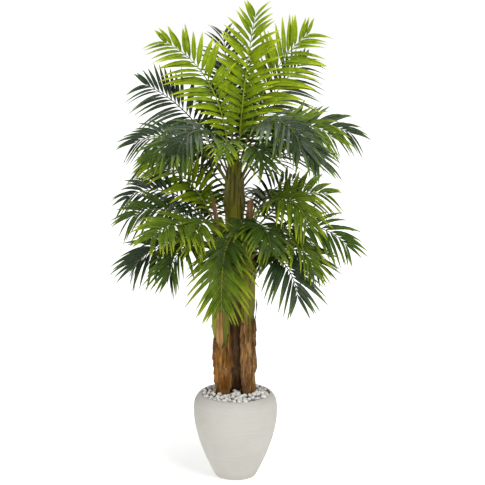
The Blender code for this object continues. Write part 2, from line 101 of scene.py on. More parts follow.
# name, stem, foot height, heading, rise, length, droop, sweep, roll, leaflet length, leaflet pairs, tone
fronds = (
    ("upper_02", "middle", 1.130, 104, 78, 0.45, 16, 0, 0, 0.150, 10, "dark"),
    ("upper_01", "middle", 1.130, 146, 84, 0.49, 60, 24, -52, 0.150, 12, "lime"),
    ("upper_03", "middle", 1.135, 54, 83, 0.50, 12, 0, 20, 0.150, 11, "lime"),
    ("upper_04", "middle", 1.115, 28, 76, 0.53, 42, 0, 56, 0.165, 13, "lime"),
    ("upper_09", "middle", 1.085, 166, 62, 0.43, 40, 0, -62, 0.145, 12, "dark"),
    ("upper_10", "middle", 1.060, 189, 58, 0.38, 86, 0, -40, 0.140, 10, "dark"),
    ("upper_06", "middle", 1.060, -6, 58, 0.45, 84, 0, 42, 0.150, 12, "dark"),
    ("upper_07", "middle", 1.105, -46, 76, 0.43, 155, 0, 12, 0.150, 11, "dark"),
    ("upper_11", "middle", 1.105, 226, 74, 0.36, 155, 0, -12, 0.140, 10, "dark"),
    ("upper_12", "middle", 1.085, 262, 70, 0.28, 112, 0, 0, 0.100, 8, "olive"),
    ("upper_17", "middle", 1.075, 292, 66, 0.30, 122, 0, 0, 0.120, 8, "deep"),
    ("upper_08", "middle", 1.080, -18, 66, 0.41, 106, 0, 34, 0.140, 10, "olive"),
    ("upper_05", "middle", 1.090, 42, 64, 0.50, 34, 0, 46, 0.155, 12, "dark"),
    ("upper_13", "middle", 1.085, 78, 62, 0.47, 74, 0, 0, 0.145, 10, "deep"),
    ("upper_14", "middle", 1.060, 118, 56, 0.46, 84, 0, 0, 0.145, 10, "olive"),
    ("upper_15", "middle", 1.030, 34, 44, 0.41, 84, 0, 26, 0.140, 10, "deep"),
    ("upper_16", "middle", 1.030, 148, 40, 0.40, 80, 0, -26, 0.140, 10, "deep"),
    ("lower_01", "left", 0.905, 161, 68, 0.35, 70, 0, -56, 0.125, 10, "lime"),
    ("lower_02", "left", 0.880, 178, 60, 0.36, 92, 0, -42, 0.140, 10, "dark"),
    ("lower_03", "left", 0.855, 200, 50, 0.34, 78, 0, -34, 0.140, 10, "deep"),
    ("lower_04", "left", 0.853, 231, 36, 0.34, 62, 0, -20, 0.140, 10, "olive"),
    ("lower_05", "left", 0.825, 203, 22, 0.31, 72, 0, -30, 0.140, 10, "dark"),
    ("lower_06", "left", 0.810, 276, 22, 0.34, 112, -12, 0, 0.145, 11, "olive"),
    ("lower_10", "right", 0.905, -45, 62, 0.33, 132, 0, 22, 0.130, 10, "olive"),
    ("lower_09", "right", 0.890, 12, 50, 0.30, 62, 0, 48, 0.130, 10, "olive"),
    ("lower_08", "right", 0.855, -15, 32, 0.35, 80, 0, 36, 0.135, 10, "deep"),
    ("lower_07", "right", 0.810, -58, 18, 0.33, 92, 0, 10, 0.140, 10, "dark"),
    ("lower_13", "right", 0.825, -25, 16, 0.25, 60, 0, 24, 0.130, 8, "dark"),
    ("lower_12", "middle", 0.900, 280, 42, 0.19, 120, 0, 0, 0.090, 8, "deep"),
    ("lower_21", "left", 0.878, 250, 46, 0.26, 108, 0, 0, 0.115, 8, "olive"),
    ("lower_22", "right", 0.862, 288, 48, 0.26, 116, 0, 0, 0.115, 8, "deep"),
    ("lower_11", "right", 0.915, 45, 54, 0.29, 66, 0, 36, 0.130, 8, "dark"),
    ("lower_20", "left", 0.890, 120, 74, 0.29, 62, 0, 0, 0.120, 8, "olive"),
    ("lower_14", "right", 0.875, 78, 48, 0.37, 84, 0, 0, 0.135, 10, "deep"),
    ("lower_15", "middle", 0.870, 105, 44, 0.38, 78, 0, 0, 0.135, 10, "olive"),
    ("lower_16", "left", 0.870, 138, 44, 0.35, 82, 0, -20, 0.135, 10, "deep"),
    ("lower_17", "right", 0.835, 48, 24, 0.32, 78, 0, 20, 0.130, 8, "deep"),
    ("lower_18", "left", 0.830, 162, 18, 0.30, 74, 0, -24, 0.130, 8, "dark"),
    ("lower_19", "middle", 0.835, 86, 24, 0.33, 84, 0, 0, 0.130, 8, "olive"),
    ("upper_18", "middle", 1.065, 322, 60, 0.40, 112, 0, 20, 0.145, 10, "dark"),
    ("upper_19", "middle", 1.060, 212, 60, 0.36, 104, 0, -22, 0.140, 10, "deep"),
    ("upper_20", "middle", 1.105, 96, 72, 0.42, 34, 0, 0, 0.150, 11, "deep"),
    ("lower_23", "right", 0.855, 250, 34, 0.27, 112, 0, 0, 0.125, 9, "deep"),
    ("lower_24", "left", 0.860, 312, 40, 0.25, 118, 0, 0, 0.120, 8, "olive"),
    ("lower_25", "left", 0.835, 232, 26, 0.29, 100, 0, 0, 0.130, 9, "deep"),
    ("lower_26", "right", 0.835, 318, 30, 0.30, 96, 0, 0, 0.130, 9, "olive"),
)


# Small helpers for node trees and meshes.


class Graph:
    def __init__(self, tree):
        self.tree = tree

    def add(self, kind, inputs=None, **settings):
        node = self.tree.nodes.new(kind)
        for key, value in settings.items():
            setattr(node, key, value)
        for key, value in (inputs or {}).items():
            self.feed(node, key, value)
        return node

    def feed(self, node, key, value):
        socket = node.inputs[key]
        if isinstance(value, bpy.types.NodeSocket):
            self.tree.links.new(value, socket)
        elif socket.type == "RGBA" and len(value) == 3:
            socket.default_value = (*value, 1.0)
        else:
            socket.default_value = value

    def math(self, operation, *values):
        node = self.add("ShaderNodeMath", operation=operation)
        for index, value in enumerate(values):
            self.feed(node, index, value)
        return node.outputs[0]

    def vector(self, operation, *values, out=0):
        node = self.add("ShaderNodeVectorMath", operation=operation)
        for index, value in enumerate(values):
            self.feed(node, index, value)
        return node.outputs[out]

    def scaled(self, vector, factor):
        node = self.add("ShaderNodeVectorMath", {0: vector, "Scale": factor}, operation="SCALE")
        return node.outputs[0]

    def mapped(self, value, low, high, toLow=0.0, toHigh=1.0):
        node = self.add("ShaderNodeMapRange", {0: value, 1: low, 2: high, 3: toLow, 4: toHigh})
        return node.outputs[0]

    def mixed(self, factor, first, second):
        node = self.add("ShaderNodeMix", data_type="RGBA")
        self.feed(node, 0, factor)
        self.feed(node, 6, first)
        self.feed(node, 7, second)
        return node.outputs[2]

    def times(self, first, second):
        return self.math("MULTIPLY", first, second)

    def plus(self, first, second):
        return self.math("ADD", first, second)

    def random(self, seed, low, high, others=None):
        inputs = {"Seed": seed, 2: low, 3: high, **(others or {})}
        return self.add("FunctionNodeRandomValue", inputs).outputs[1]

    def over(self, color, layer, value, low, high, least=0.0, most=1.0):
        # Lays another color over this one, more of it as value goes from low to high.
        return self.mixed(self.mapped(value, low, high, least, most), color, layer)

    def leaned(self, first, second, angle):
        # The first direction, turned by angle towards the second.
        ahead = self.scaled(first, self.math("COSINE", angle))
        return self.vector("ADD", ahead, self.scaled(second, self.math("SINE", angle)))

    def joined(self, *parts):
        node = self.add("GeometryNodeJoinGeometry")
        for part in parts:
            self.tree.links.new(part, node.inputs[0])
        return self.add("GeometryNodeRealizeInstances", {"Geometry": node.outputs[0]}).outputs[0]

    def finished(self, geometry, material):
        return self.add("GeometryNodeSetMaterial", {"Geometry": geometry, "Material": material}).outputs[0]

    def noise(self, vector, scale, detail=3.0, roughness=0.55, distortion=0.0):
        inputs = {"Vector": vector, "Scale": scale, "Detail": detail}
        inputs |= {"Roughness": roughness, "Distortion": distortion}
        return self.add("ShaderNodeTexNoise", inputs).outputs[0]

    def stretched(self, vector, scale):
        return self.add("ShaderNodeMapping", {"Vector": vector, "Scale": scale}).outputs[0]

    def turned(self, along, facing):
        node = self.add("FunctionNodeAxesToRotation", primary_axis="Y", secondary_axis="Z")
        self.feed(node, 0, along)
        self.feed(node, 1, facing)
        return node.outputs[0]

    def placed(self, points, instance, rotation, scale, pick=False):
        inputs = {"Points": points, "Instance": instance, "Rotation": rotation, "Scale": scale}
        node = self.add("GeometryNodeInstanceOnPoints", {**inputs, "Pick Instance": pick})
        return node.outputs[0]

    def stored(self, geometry, name, value):
        inputs = {"Geometry": geometry, "Name": name, "Value": value}
        return self.add("GeometryNodeStoreNamedAttribute", inputs, domain="INSTANCE").outputs[0]


def makeGroup(name, kind, inputs, outputs):
    tree = bpy.data.node_groups.new(name, kind)
    for title, form in inputs:
        tree.interface.new_socket(name=title, in_out="INPUT", socket_type="NodeSocket" + form)
    for title, form in outputs:
        tree.interface.new_socket(name=title, in_out="OUTPUT", socket_type="NodeSocket" + form)
    graph = Graph(tree)
    source = graph.add("NodeGroupInput")
    target = graph.add("NodeGroupOutput")
    return tree, graph, source.outputs, target


def newMesh(name, points, faces):
    mesh = bpy.data.meshes.new(name)
    mesh.from_pydata([tuple(p) for p in points], [], faces)
    mesh.validate()
    mesh.update()
    for polygon in mesh.polygons:
        polygon.use_smooth = True
    return mesh


def ringFaces(rows, columns, first=0, inward=False):
    # Quads between closed rings of points, one ring of columns points after another.
    faces = []
    for row in range(rows):
        low = first + row * columns
        high = low + columns
        for i in range(columns):
            j = (i + 1) % columns
            if inward:
                faces.append((low + i, high + i, high + j, low + j))
            else:
                faces.append((low + i, low + j, high + j, high + i))
    return faces


def newPiece(name, mesh, material=None):
    piece = bpy.data.objects.new(name, mesh)
    bpy.context.scene.collection.objects.link(piece)
    if material:
        mesh.materials.clear()
        mesh.materials.append(material)
    return piece


def faceOutward(mesh):
    shape = bmesh.new()
    shape.from_mesh(mesh)
    bmesh.ops.remove_doubles(shape, verts=shape.verts, dist=1e-6)
    bmesh.ops.recalc_face_normals(shape, faces=shape.faces)
    shape.to_mesh(mesh)
    shape.free()


def setPointValues(mesh, name, values):
    layer = mesh.attributes.new(name, "FLOAT", "POINT")
    layer.data.foreach_set("value", values)


def socketNamed(tree, name):
    for item in tree.interface.items_tree:
        if item.item_type == "SOCKET" and item.in_out == "INPUT" and item.name == name:
            return item.identifier
    raise KeyError(name)


def bakeTree(name, mesh, tree, values):
    # Runs a geometry tree on a mesh and returns a plain piece with the result.
    source = newPiece(name + "_source", mesh)
    modifier = source.modifiers.new("Grow", "NODES")
    modifier.node_group = tree
    for key, value in values.items():
        modifier[socketNamed(tree, key)] = value
    source.update_tag()
    bpy.context.view_layer.update()
    graph = bpy.context.evaluated_depsgraph_get()
    result = bpy.data.meshes.new_from_object(source.evaluated_get(graph), depsgraph=graph)
    source.modifiers.remove(modifier)
    bpy.data.objects.remove(source)
    result.name = name
    return newPiece(name, result)


def clamped(value):
    return min(1.0, max(0.0, value))


def between(rings, height):
    if height <= rings[0][1]:
        return rings[0][0]
    for (low, start), (high, end) in zip(rings, rings[1:]):
        if height <= end:
            share = (height - start) / (end - start)
            share = share * share * (3 - 2 * share) * 0.5 + share * 0.5
            return low + (high - low) * share
    return rings[-1][0]


def linearBetween(rings, height):
    for (low, start), (high, end) in zip(rings, rings[1:]):
        if start <= height <= end:
            return low + (high - low) * (height - start) / (end - start)
    return rings[-1][0]


def aim(slope, turn):
    return Vector((math.cos(slope) * math.cos(turn), math.cos(slope) * math.sin(turn), math.sin(slope)))


def level(turn):
    return Vector((math.cos(turn), math.sin(turn), 0.0))


def stemCenter(stem, height):
    share = clamped((height - leanFrom) / leanSpan)
    share = share * share * (3 - 2 * share)
    foot = stems[stem]["foot"]
    lean = stems[stem]["lean"]
    return Vector((foot[0] + (lean[0] - foot[0]) * share, foot[1] + (lean[1] - foot[1]) * share, height))


# Shader groups shared by several materials.


def makeFibreGroup():
    # Streaks that run up the object, for bark, husk and green sheaths.
    inputs = (
        ("Vector", "Vector"), ("Fineness", "Float"), ("Stretch", "Float"), ("Patch Scale", "Float"),
    )
    outputs = (("Fibre", "Float"), ("Streak", "Float"), ("Patch", "Float"))
    tree, g, given, target = makeGroup("fibreStreaks", "ShaderNodeTree", inputs, outputs)
    squeeze = g.add("ShaderNodeCombineXYZ", {"X": 1.0, "Y": 1.0, "Z": given["Stretch"]}).outputs[0]
    drawn = g.vector("MULTIPLY", given["Vector"], squeeze)
    g.feed(target, "Fibre", g.noise(drawn, given["Fineness"], 4.0, 0.6, 0.3))
    coarse = g.times(given["Fineness"], 0.22)
    g.feed(target, "Streak", g.noise(drawn, coarse, 3.0, 0.55, 0.8))
    g.feed(target, "Patch", g.noise(given["Vector"], given["Patch Scale"], 3.0, 0.5, 0.4))
    return tree


def makeGrimeGroup():
    # Soft blotches and fine specks, for mineral surfaces.
    inputs = (
        ("Vector", "Vector"), ("Blotch Scale", "Float"), ("Speck Scale", "Float"),
    )
    outputs = (("Blotch", "Float"), ("Speck", "Float"), ("Grain", "Float"))
    tree, g, given, target = makeGroup("mineralGrime", "ShaderNodeTree", inputs, outputs)
    g.feed(target, "Blotch", g.noise(given["Vector"], given["Blotch Scale"], 4.0, 0.55, 0.5))
    cells = g.add("ShaderNodeTexVoronoi", {"Vector": given["Vector"], "Scale": given["Speck Scale"]})
    g.feed(target, "Speck", g.mapped(cells.outputs["Distance"], 0.0, 0.22, 1.0, 0.0))
    g.feed(target, "Grain", g.noise(given["Vector"], 900.0, 2.0, 0.6))
    return tree


fibreGroup = makeFibreGroup()
grimeGroup = makeGrimeGroup()


def newMaterial(name):
    material = bpy.data.materials.new(name)
    material.use_nodes = True
    graph = Graph(material.node_tree)
    shader = material.node_tree.nodes["Principled BSDF"]
    place = graph.add("ShaderNodeTexCoord").outputs["Object"]
    return material, graph, shader, place


def useGroup(graph, tree, inputs):
    node = graph.add("ShaderNodeGroup", node_tree=tree)
    for key, value in inputs.items():
        graph.feed(node, key, value)
    return node.outputs


def fibres(graph, place, fineness, stretch, patches):
    inputs = {"Vector": place, "Fineness": fineness, "Stretch": stretch, "Patch Scale": patches}
    return useGroup(graph, fibreGroup, inputs)


def grimes(graph, place, blotches, specks):
    return useGroup(graph, grimeGroup, {"Vector": place, "Blotch Scale": blotches, "Speck Scale": specks})


def addBump(graph, shader, height, distance, strength=1.0):
    bump = graph.add("ShaderNodeBump", {"Height": height, "Distance": distance, "Strength": strength})
    graph.feed(shader, "Normal", bump.outputs[0])


def attribute(graph, name):
    return graph.add("ShaderNodeAttribute", attribute_name=name).outputs["Fac"]


# Leaf blades and stalks.

leafTones = {
    "lime": {
        "base": (0.155, 0.255, 0.004), "bright": (0.33, 0.44, 0.006), "shade": (0.034, 0.08, 0.002),
        "tip": (0.52, 0.59, 0.015), "gloss": 0.42, "halfWidth": 0.0096, "shine": 0.1,
    },
    "olive": {
        "base": (0.06, 0.116, 0.004), "bright": (0.138, 0.218, 0.005), "shade": (0.017, 0.04, 0.003),
        "tip": (0.37, 0.45, 0.015), "gloss": 0.38, "halfWidth": 0.008, "shine": 0.13,
    },
    "deep": {
        "base": (0.026, 0.066, 0.006), "bright": (0.064, 0.125, 0.009), "shade": (0.01, 0.022, 0.004),
        "tip": (0.22, 0.3, 0.02), "gloss": 0.34, "halfWidth": 0.0078, "shine": 0.17,
    },
    "dark": {
        "base": (0.014, 0.034, 0.012), "bright": (0.034, 0.066, 0.026), "shade": (0.004, 0.011, 0.005),
        "tip": (0.15, 0.24, 0.03), "gloss": 0.28, "halfWidth": 0.0078, "shine": 0.3,
    },
}


def makeLeafGroup():
    # Lengthwise veins, a pale crease and soft mottling on a blade.
    inputs = (
        ("Vector", "Vector"), ("Blade UV", "Vector"), ("Tint", "Float"), ("Base", "Color"),
        ("Bright", "Color"), ("Shade", "Color"), ("Tip", "Color"),
    )
    outputs = (("Color", "Color"), ("Height", "Float"), ("Wax", "Float"))
    tree, g, given, target = makeGroup("leafBlade", "ShaderNodeTree", inputs, outputs)
    split = g.add("ShaderNodeSeparateXYZ", {0: given["Blade UV"]})
    across, along = split.outputs[0], split.outputs[1]
    offCrease = g.math("ABSOLUTE", g.math("SUBTRACT", across, 0.5))
    veins = g.math("SINE", g.times(across, 88.0))
    veins = g.mapped(veins, -1.0, 1.0)
    wander = g.noise(g.stretched(given["Blade UV"], (9.0, 1.6, 1.0)), 3.0, 3.0)
    mottle = g.noise(given["Vector"], 55.0, 4.0, 0.6, 0.4)
    broad = g.noise(given["Vector"], 7.0, 2.0)
    tone = g.mixed(g.mapped(given["Tint"], 0.15, 0.95), given["Shade"], given["Base"])
    tone = g.over(tone, given["Bright"], mottle, 0.38, 0.72, 0.0, 0.75)
    tone = g.over(tone, given["Shade"], broad, 0.42, 0.66, 0.0, 0.35)
    tone = g.over(tone, given["Base"], wander, 0.35, 0.75, 0.0, 0.45)
    tone = g.mixed(g.times(veins, 0.22), tone, given["Bright"])
    # The crease, painted shade on the foot of each leaflet by the midrib, the pale edges and tip, and a dry
    # end.
    tone = g.over(tone, given["Tip"], offCrease, 0.0, 0.055, 0.75, 0.0)
    tone = g.over(tone, given["Shade"], along, 0.02, 0.34, 0.75, 0.0)
    tone = g.over(tone, given["Tip"], offCrease, 0.40, 0.50, 0.0, 0.35)
    tone = g.over(tone, given["Tip"], along, 0.58, 1.0, 0.0, 0.90)
    tone = g.over(tone, (0.20, 0.13, 0.04), along, 0.965, 1.0, 0.0, 0.55)
    g.feed(target, "Color", tone)
    height = g.plus(veins, g.times(mottle, 0.8))
    g.feed(target, "Height", height)
    g.feed(target, "Wax", g.mapped(broad, 0.35, 0.7, -0.05, 0.10))
    return tree


leafGroup = makeLeafGroup()


def makeLeafMaterial(tone):
    look = leafTones[tone]
    material, g, shader, place = newMaterial("leaf_" + tone)
    uv = g.add("ShaderNodeUVMap", uv_map="UVMap").outputs[0]
    tint = attribute(g, "tint")
    blade = attribute(g, "blade")
    under = attribute(g, "under")
    share = attribute(g, "share")
    inputs = {"Vector": place, "Blade UV": uv, "Tint": tint}
    for key in ("base", "bright", "shade", "tip"):
        inputs[key.title()] = look[key]
    leaf = useGroup(g, leafGroup, inputs)
    pale = tuple(0.55 * a + 0.45 * b for a, b in zip(look["base"], (0.12, 0.17, 0.03)))
    color = g.mixed(g.times(under, 0.55), leaf["Color"], pale)
    # The stalk: olive with brown streaks at its foot, green towards the tip.
    streaks = fibres(g, place, 520.0, 0.10, 22.0)
    foot = g.mixed(g.mapped(streaks["Streak"], 0.40, 0.62), (0.120, 0.075, 0.018), (0.230, 0.220, 0.030))
    foot = g.over(foot, (0.30, 0.30, 0.06), streaks["Fibre"], 0.40, 0.75, 0.0, 0.5)
    young = tuple(0.5 * a + 0.5 * b for a, b in zip(look["bright"], (0.16, 0.20, 0.02)))
    stalk = g.mixed(g.mapped(share, -0.10, 0.42), foot, young)
    stalk = g.over(stalk, look["shade"], streaks["Patch"], 0.45, 0.7, 0.0, 0.4)
    color = g.mixed(blade, stalk, color)
    g.feed(shader, "Base Color", color)
    rough = g.plus(leaf["Wax"], look["gloss"])
    rough = g.plus(rough, g.times(under, 0.16))
    g.feed(shader, "Roughness", rough)
    height = g.mixed(blade, streaks["Fibre"], leaf["Height"])
    addBump(g, shader, height, 0.00022, 0.75)
    shader.inputs["Specular IOR Level"].default_value = look["shine"]
    return material


blade = {
    "stations": (0.0, 0.05, 0.16, 0.32, 0.5, 0.68, 0.84, 0.94),
    "widths": (0.16, 0.26, 0.78, 1.0, 0.92, 0.7, 0.4, 0.17), "fold": 0.34, "thickness": 0.045,
}


def makeBladeMesh():
    # A closed, folded blade one unit long along Y and about two units wide, to be scaled for each leaflet.
    points = []
    uvs = []
    under = []
    stations = blade["stations"]
    for share, wide in zip(stations, blade["widths"]):
        fold = blade["fold"] * wide
        thin = blade["thickness"]
        ring = (
            (-wide, fold, 0.0, 0),
            (-wide * 0.52, fold * 0.62 + thin, 0.24, 0),
            (0.0, thin, 0.5, 0),
            (wide * 0.52, fold * 0.62 + thin, 0.76, 0),
            (wide, fold, 1.0, 0),
            (0.0, -thin, 0.5, 1),
        )
        for x, z, u, low in ring:
            points.append((x, share, z))
            uvs.append((u, share))
            under.append(float(low))
    count = 6
    faces = ringFaces(len(stations) - 1, count, inward=True)
    tip = len(points)
    points.append((0.0, 1.0, 0.0))
    uvs.append((0.5, 1.0))
    under.append(0.3)
    last = (len(stations) - 1) * count
    for i in range(count):
        faces.append((last + i, tip, last + (i + 1) % count))
    faces.append((0, 1, 2, 3, 4, 5))
    mesh = newMesh("bladeTemplate", points, faces)
    faceOutward(mesh)
    layer = mesh.uv_layers.new(name="UVMap")
    for loop in mesh.loops:
        layer.data[loop.index].uv = uvs[loop.vertex_index]
    setPointValues(mesh, "blade", [1.0] * len(points))
    setPointValues(mesh, "along", [point[1] for point in points])
    setPointValues(mesh, "under", under)
    sharp = mesh.attributes.new("sharp_edge", "BOOLEAN", "EDGE")
    edgeRows = {0, 2, 4, 5}
    for edge in mesh.edges:
        a, b = edge.vertices
        straight = a < last + count and b < last + count and a % count == b % count
        sharp.data[edge.index].value = straight and a % count in edgeRows
    return mesh


# How every frond is dressed: leaflet pairs and length as a multiple of the table's, and angles in degrees.
frondLook = {
    "pairs": 1.75,
    "leaflet": 1.09,
    "leafyShare": 0.82,
    "splay": (63, 30),
    "lift": 12,
    "pitch": 16,
    "sag": {"lime": 0.30, "olive": 0.42, "deep": 0.42, "dark": 0.42},
    "wander": 0.10,
    "stalk": 0.0036,
}


def makeFrondTree():
    # Leaflets in pairs along a midrib, each turned, scaled and bent down by its own weight, and a tapered
    # stalk.
    inputs = (
        ("Midrib", "Geometry"), ("Blade", "Object"), ("Pairs", "Int"), ("Bare Share", "Float"),
        ("Leaflet Length", "Float"), ("Leaflet Width", "Float"), ("Splay At Foot", "Float"),
        ("Splay At Tip", "Float"), ("Lift", "Float"), ("Pitch", "Float"), ("Sag", "Float"),
        ("Wander", "Float"), ("Stalk Radius", "Float"), ("Seed", "Int"), ("Finish", "Material"),
    )
    tree, g, given, target = makeGroup("frondGrower", "GeometryNodeTree", inputs, (("Frond", "Geometry"),))

    def stored(name, form="FLOAT"):
        return g.add("GeometryNodeInputNamedAttribute", {"Name": name}, data_type=form).outputs["Attribute"]

    def spread(number, low=-1.0, high=1.0):
        return g.random(g.plus(given["Seed"], float(number)), low, high, {"ID": index})

    index = g.add("GeometryNodeInputIndex").outputs[0]
    curve = g.add("GeometryNodeMeshToCurve", {"Mesh": given["Midrib"]}).outputs[0]

    # The stalk, thick where it clasps the stem and thin at the tip.
    share = stored("share")
    upperPart = g.mapped(share, 0.0, 1.0, 1.0, 0.30)
    clasp = g.mapped(share, -0.30, 0.05, 1.55, 0.0)
    radius = g.times(g.plus(upperPart, clasp), given["Stalk Radius"])
    endTaper = g.mapped(share, -0.34, -0.22, 0.35, 1.0)
    radius = g.times(radius, endTaper)
    stalkCurve = g.add("GeometryNodeSetCurveRadius", {"Curve": curve, "Radius": radius}).outputs[0]
    ring = g.add("GeometryNodeCurvePrimitiveCircle", {"Resolution": 8, "Radius": 1.0}).outputs[0]
    stalk = g.add(
        "GeometryNodeCurveToMesh",
        {"Curve": stalkCurve, "Profile Curve": ring, "Scale": radius, "Fill Caps": True},
    ).outputs[0]

    # Where leaflets join.
    trimmed = g.add("GeometryNodeTrimCurve", {0: curve}, mode="FACTOR")
    g.feed(trimmed, 2, given["Bare Share"])
    g.feed(trimmed, 3, 0.995)
    joints = g.add(
        "GeometryNodeCurveToPoints", {"Curve": trimmed.outputs[0], "Count": given["Pairs"]}, mode="COUNT"
    )
    tangent = joints.outputs["Tangent"]
    upper = g.vector("NORMALIZE", stored("upper", "FLOAT_VECTOR"))
    right = g.vector("CROSS_PRODUCT", tangent, upper)
    fraction = g.mapped(share, 0.25, 1.0)
    reach = g.add("ShaderNodeFloatCurve", {"Factor": 1.0, "Value": fraction})
    points = reach.mapping.curves[0].points
    points[0].location = (0.0, 0.66)
    points[1].location = (1.0, 0.50)
    for place in ((0.18, 0.90), (0.42, 1.0), (0.72, 0.84)):
        points.new(*place)
    reach.mapping.update()
    splayBase = g.mapped(
        g.math("POWER", fraction, 1.35), 0.0, 1.0, given["Splay At Foot"], given["Splay At Tip"]
    )

    sides = []
    for side, number in ((1.0, 10), (-1.0, 30)):
        splay = g.plus(splayBase, g.times(spread(number), given["Wander"]))
        lift = g.plus(given["Lift"], g.times(spread(number + 1), g.times(given["Wander"], 1.8)))
        out = g.leaned(g.scaled(right, side), upper, lift)
        along = g.vector("NORMALIZE", g.leaned(tangent, out, splay))
        dot = g.vector("DOT_PRODUCT", tangent, along, out=1)
        across = g.vector("NORMALIZE", g.vector("SUBTRACT", tangent, g.scaled(along, dot)))
        facing = g.scaled(g.vector("CROSS_PRODUCT", along, across), side)
        pitch = g.plus(given["Pitch"], g.times(spread(number + 2), g.times(given["Wander"], 2.0)))
        facing = g.leaned(facing, across, pitch)
        turn = g.turned(along, facing)
        length = g.times(given["Leaflet Length"], reach.outputs[0])
        length = g.times(length, g.mapped(spread(number + 3), -1.0, 1.0, 0.90, 1.09))
        wide = g.times(given["Leaflet Width"], g.mapped(reach.outputs[0], 0.5, 1.0, 0.78, 1.0))
        wide = g.times(wide, g.mapped(spread(number + 4), -1.0, 1.0, 0.90, 1.10))
        size = g.add("ShaderNodeCombineXYZ", {"X": wide, "Y": length, "Z": wide}).outputs[0]
        template = g.add("GeometryNodeObjectInfo", {"Object": given["Blade"], "As Instance": True})
        placed = g.placed(joints.outputs["Points"], template.outputs["Geometry"], turn, size)
        flat = g.vector("LENGTH", g.vector("MULTIPLY", along, (1.0, 1.0, 0.0)), out=1)
        placed = g.stored(placed, "tint", spread(number + 5, 0.0, 1.0))
        sides.append(g.stored(placed, "drop", g.times(flat, length)))

    both = g.joined(*sides)
    bent = g.math("POWER", stored("along"), 1.9)
    down = g.times(g.times(bent, stored("drop")), given["Sag"])
    offset = g.add("ShaderNodeCombineXYZ", {"Z": g.times(down, -1.0)}).outputs[0]
    hung = g.add("GeometryNodeSetPosition", {"Geometry": both, "Offset": offset})
    smoothStalk = g.add("GeometryNodeSetShadeSmooth", {0: stalk, "Shade Smooth": True})
    whole = g.joined(smoothStalk.outputs[0], hung.outputs[0])
    g.feed(target, "Frond", g.finished(whole, given["Finish"]))
    return tree


def midribMesh(stem, low, heading, rise, length, droop, sweep, roll):
    # The midrib as a line of points, carried on down the shaft as the sheath that clasps it.
    stalkThick = 0.0062
    bearing = math.radians(heading)
    clearance = 0.0016 + stalkThick / 2 * math.sin(math.radians(rise))
    reach = linearBetween(stems[stem]["shaft"], low) * 1.05 + clearance
    foot = stemCenter(stem, low) + level(bearing) * reach
    points = []
    uppers = []
    shares = []
    sheath = 0.105
    lowest = stems[stem]["shaft"][1][1] + 0.03
    for step in range(9, 0, -1):
        share = step / 9
        height = max(lowest, low - sheath * share)
        radius = linearBetween(stems[stem]["shaft"], height) * 1.02 + 0.0004
        blend = share * (2 - share)
        twist = math.radians(4.0 * math.sin(heading)) * share
        side = level(bearing + twist)
        points.append(stemCenter(stem, height) + side * (reach * (1 - blend) + radius * blend))
        uppers.append(-side)
        shares.append(-0.32 * share)
    steps = 36
    point = foot
    for step in range(steps + 1):
        share = step / steps
        slope = math.radians(rise - droop * share**1.5)
        turn = math.radians(heading + sweep * share)
        rolled = Matrix.Rotation(math.radians(roll) * min(1.0, 2 * share), 3, aim(slope, turn))
        upper = rolled @ aim(slope + math.pi / 2, turn)
        points.append(point.copy())
        uppers.append(upper)
        shares.append(share)
        share += 0.5 / steps
        slope = math.radians(rise - droop * share**1.5)
        turn = math.radians(heading + sweep * share)
        point += aim(slope, turn) * (length / steps)
    mesh = bpy.data.meshes.new("midrib")
    mesh.from_pydata([tuple(p) for p in points], [(i, i + 1) for i in range(len(points) - 1)], [])
    setPointValues(mesh, "share", shares)
    layer = mesh.attributes.new("upper", "FLOAT_VECTOR", "POINT")
    layer.data.foreach_set("vector", [value for upper in uppers for value in upper])
    # How much of the whole line is bare stalk, sheath included.
    total = sum((b - a).length for a, b in zip(points, points[1:]))
    bare = (total - length * frondLook["leafyShare"]) / total
    return mesh, bare


def addFronds():
    template = newPiece("bladeTemplate", makeBladeMesh())
    tree = makeFrondTree()
    finishes = {tone: makeLeafMaterial(tone) for tone in leafTones}
    for number, row in enumerate(fronds):
        name, stem, low, heading, rise, length, droop, sweep, roll, leaf, pairs, tone = row
        mesh, bare = midribMesh(stem, low, heading, rise, length, droop, sweep, roll)
        values = {
            "Blade": template,
            "Pairs": round(frondLook["pairs"] * pairs),
            "Bare Share": bare,
            "Leaflet Length": leaf * frondLook["leaflet"],
            "Leaflet Width": leafTones[tone]["halfWidth"] * (leaf / 0.14) ** 0.5,
            "Splay At Foot": math.radians(frondLook["splay"][0]),
            "Splay At Tip": math.radians(frondLook["splay"][1]),
            "Lift": math.radians(frondLook["lift"]),
            "Pitch": math.radians(frondLook["pitch"]),
            "Sag": frondLook["sag"][tone],
            "Wander": frondLook["wander"],
            "Stalk Radius": frondLook["stalk"],
            "Seed": 11 + 97 * number,
            "Finish": finishes[tone],
        }
        piece = bakeTree("palm_" + name, mesh, tree, values)
        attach(piece, "root")
        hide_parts("frond_" + name)
    bpy.data.objects.remove(template)
    print("fronds grown:", len(fronds))


# The pot.

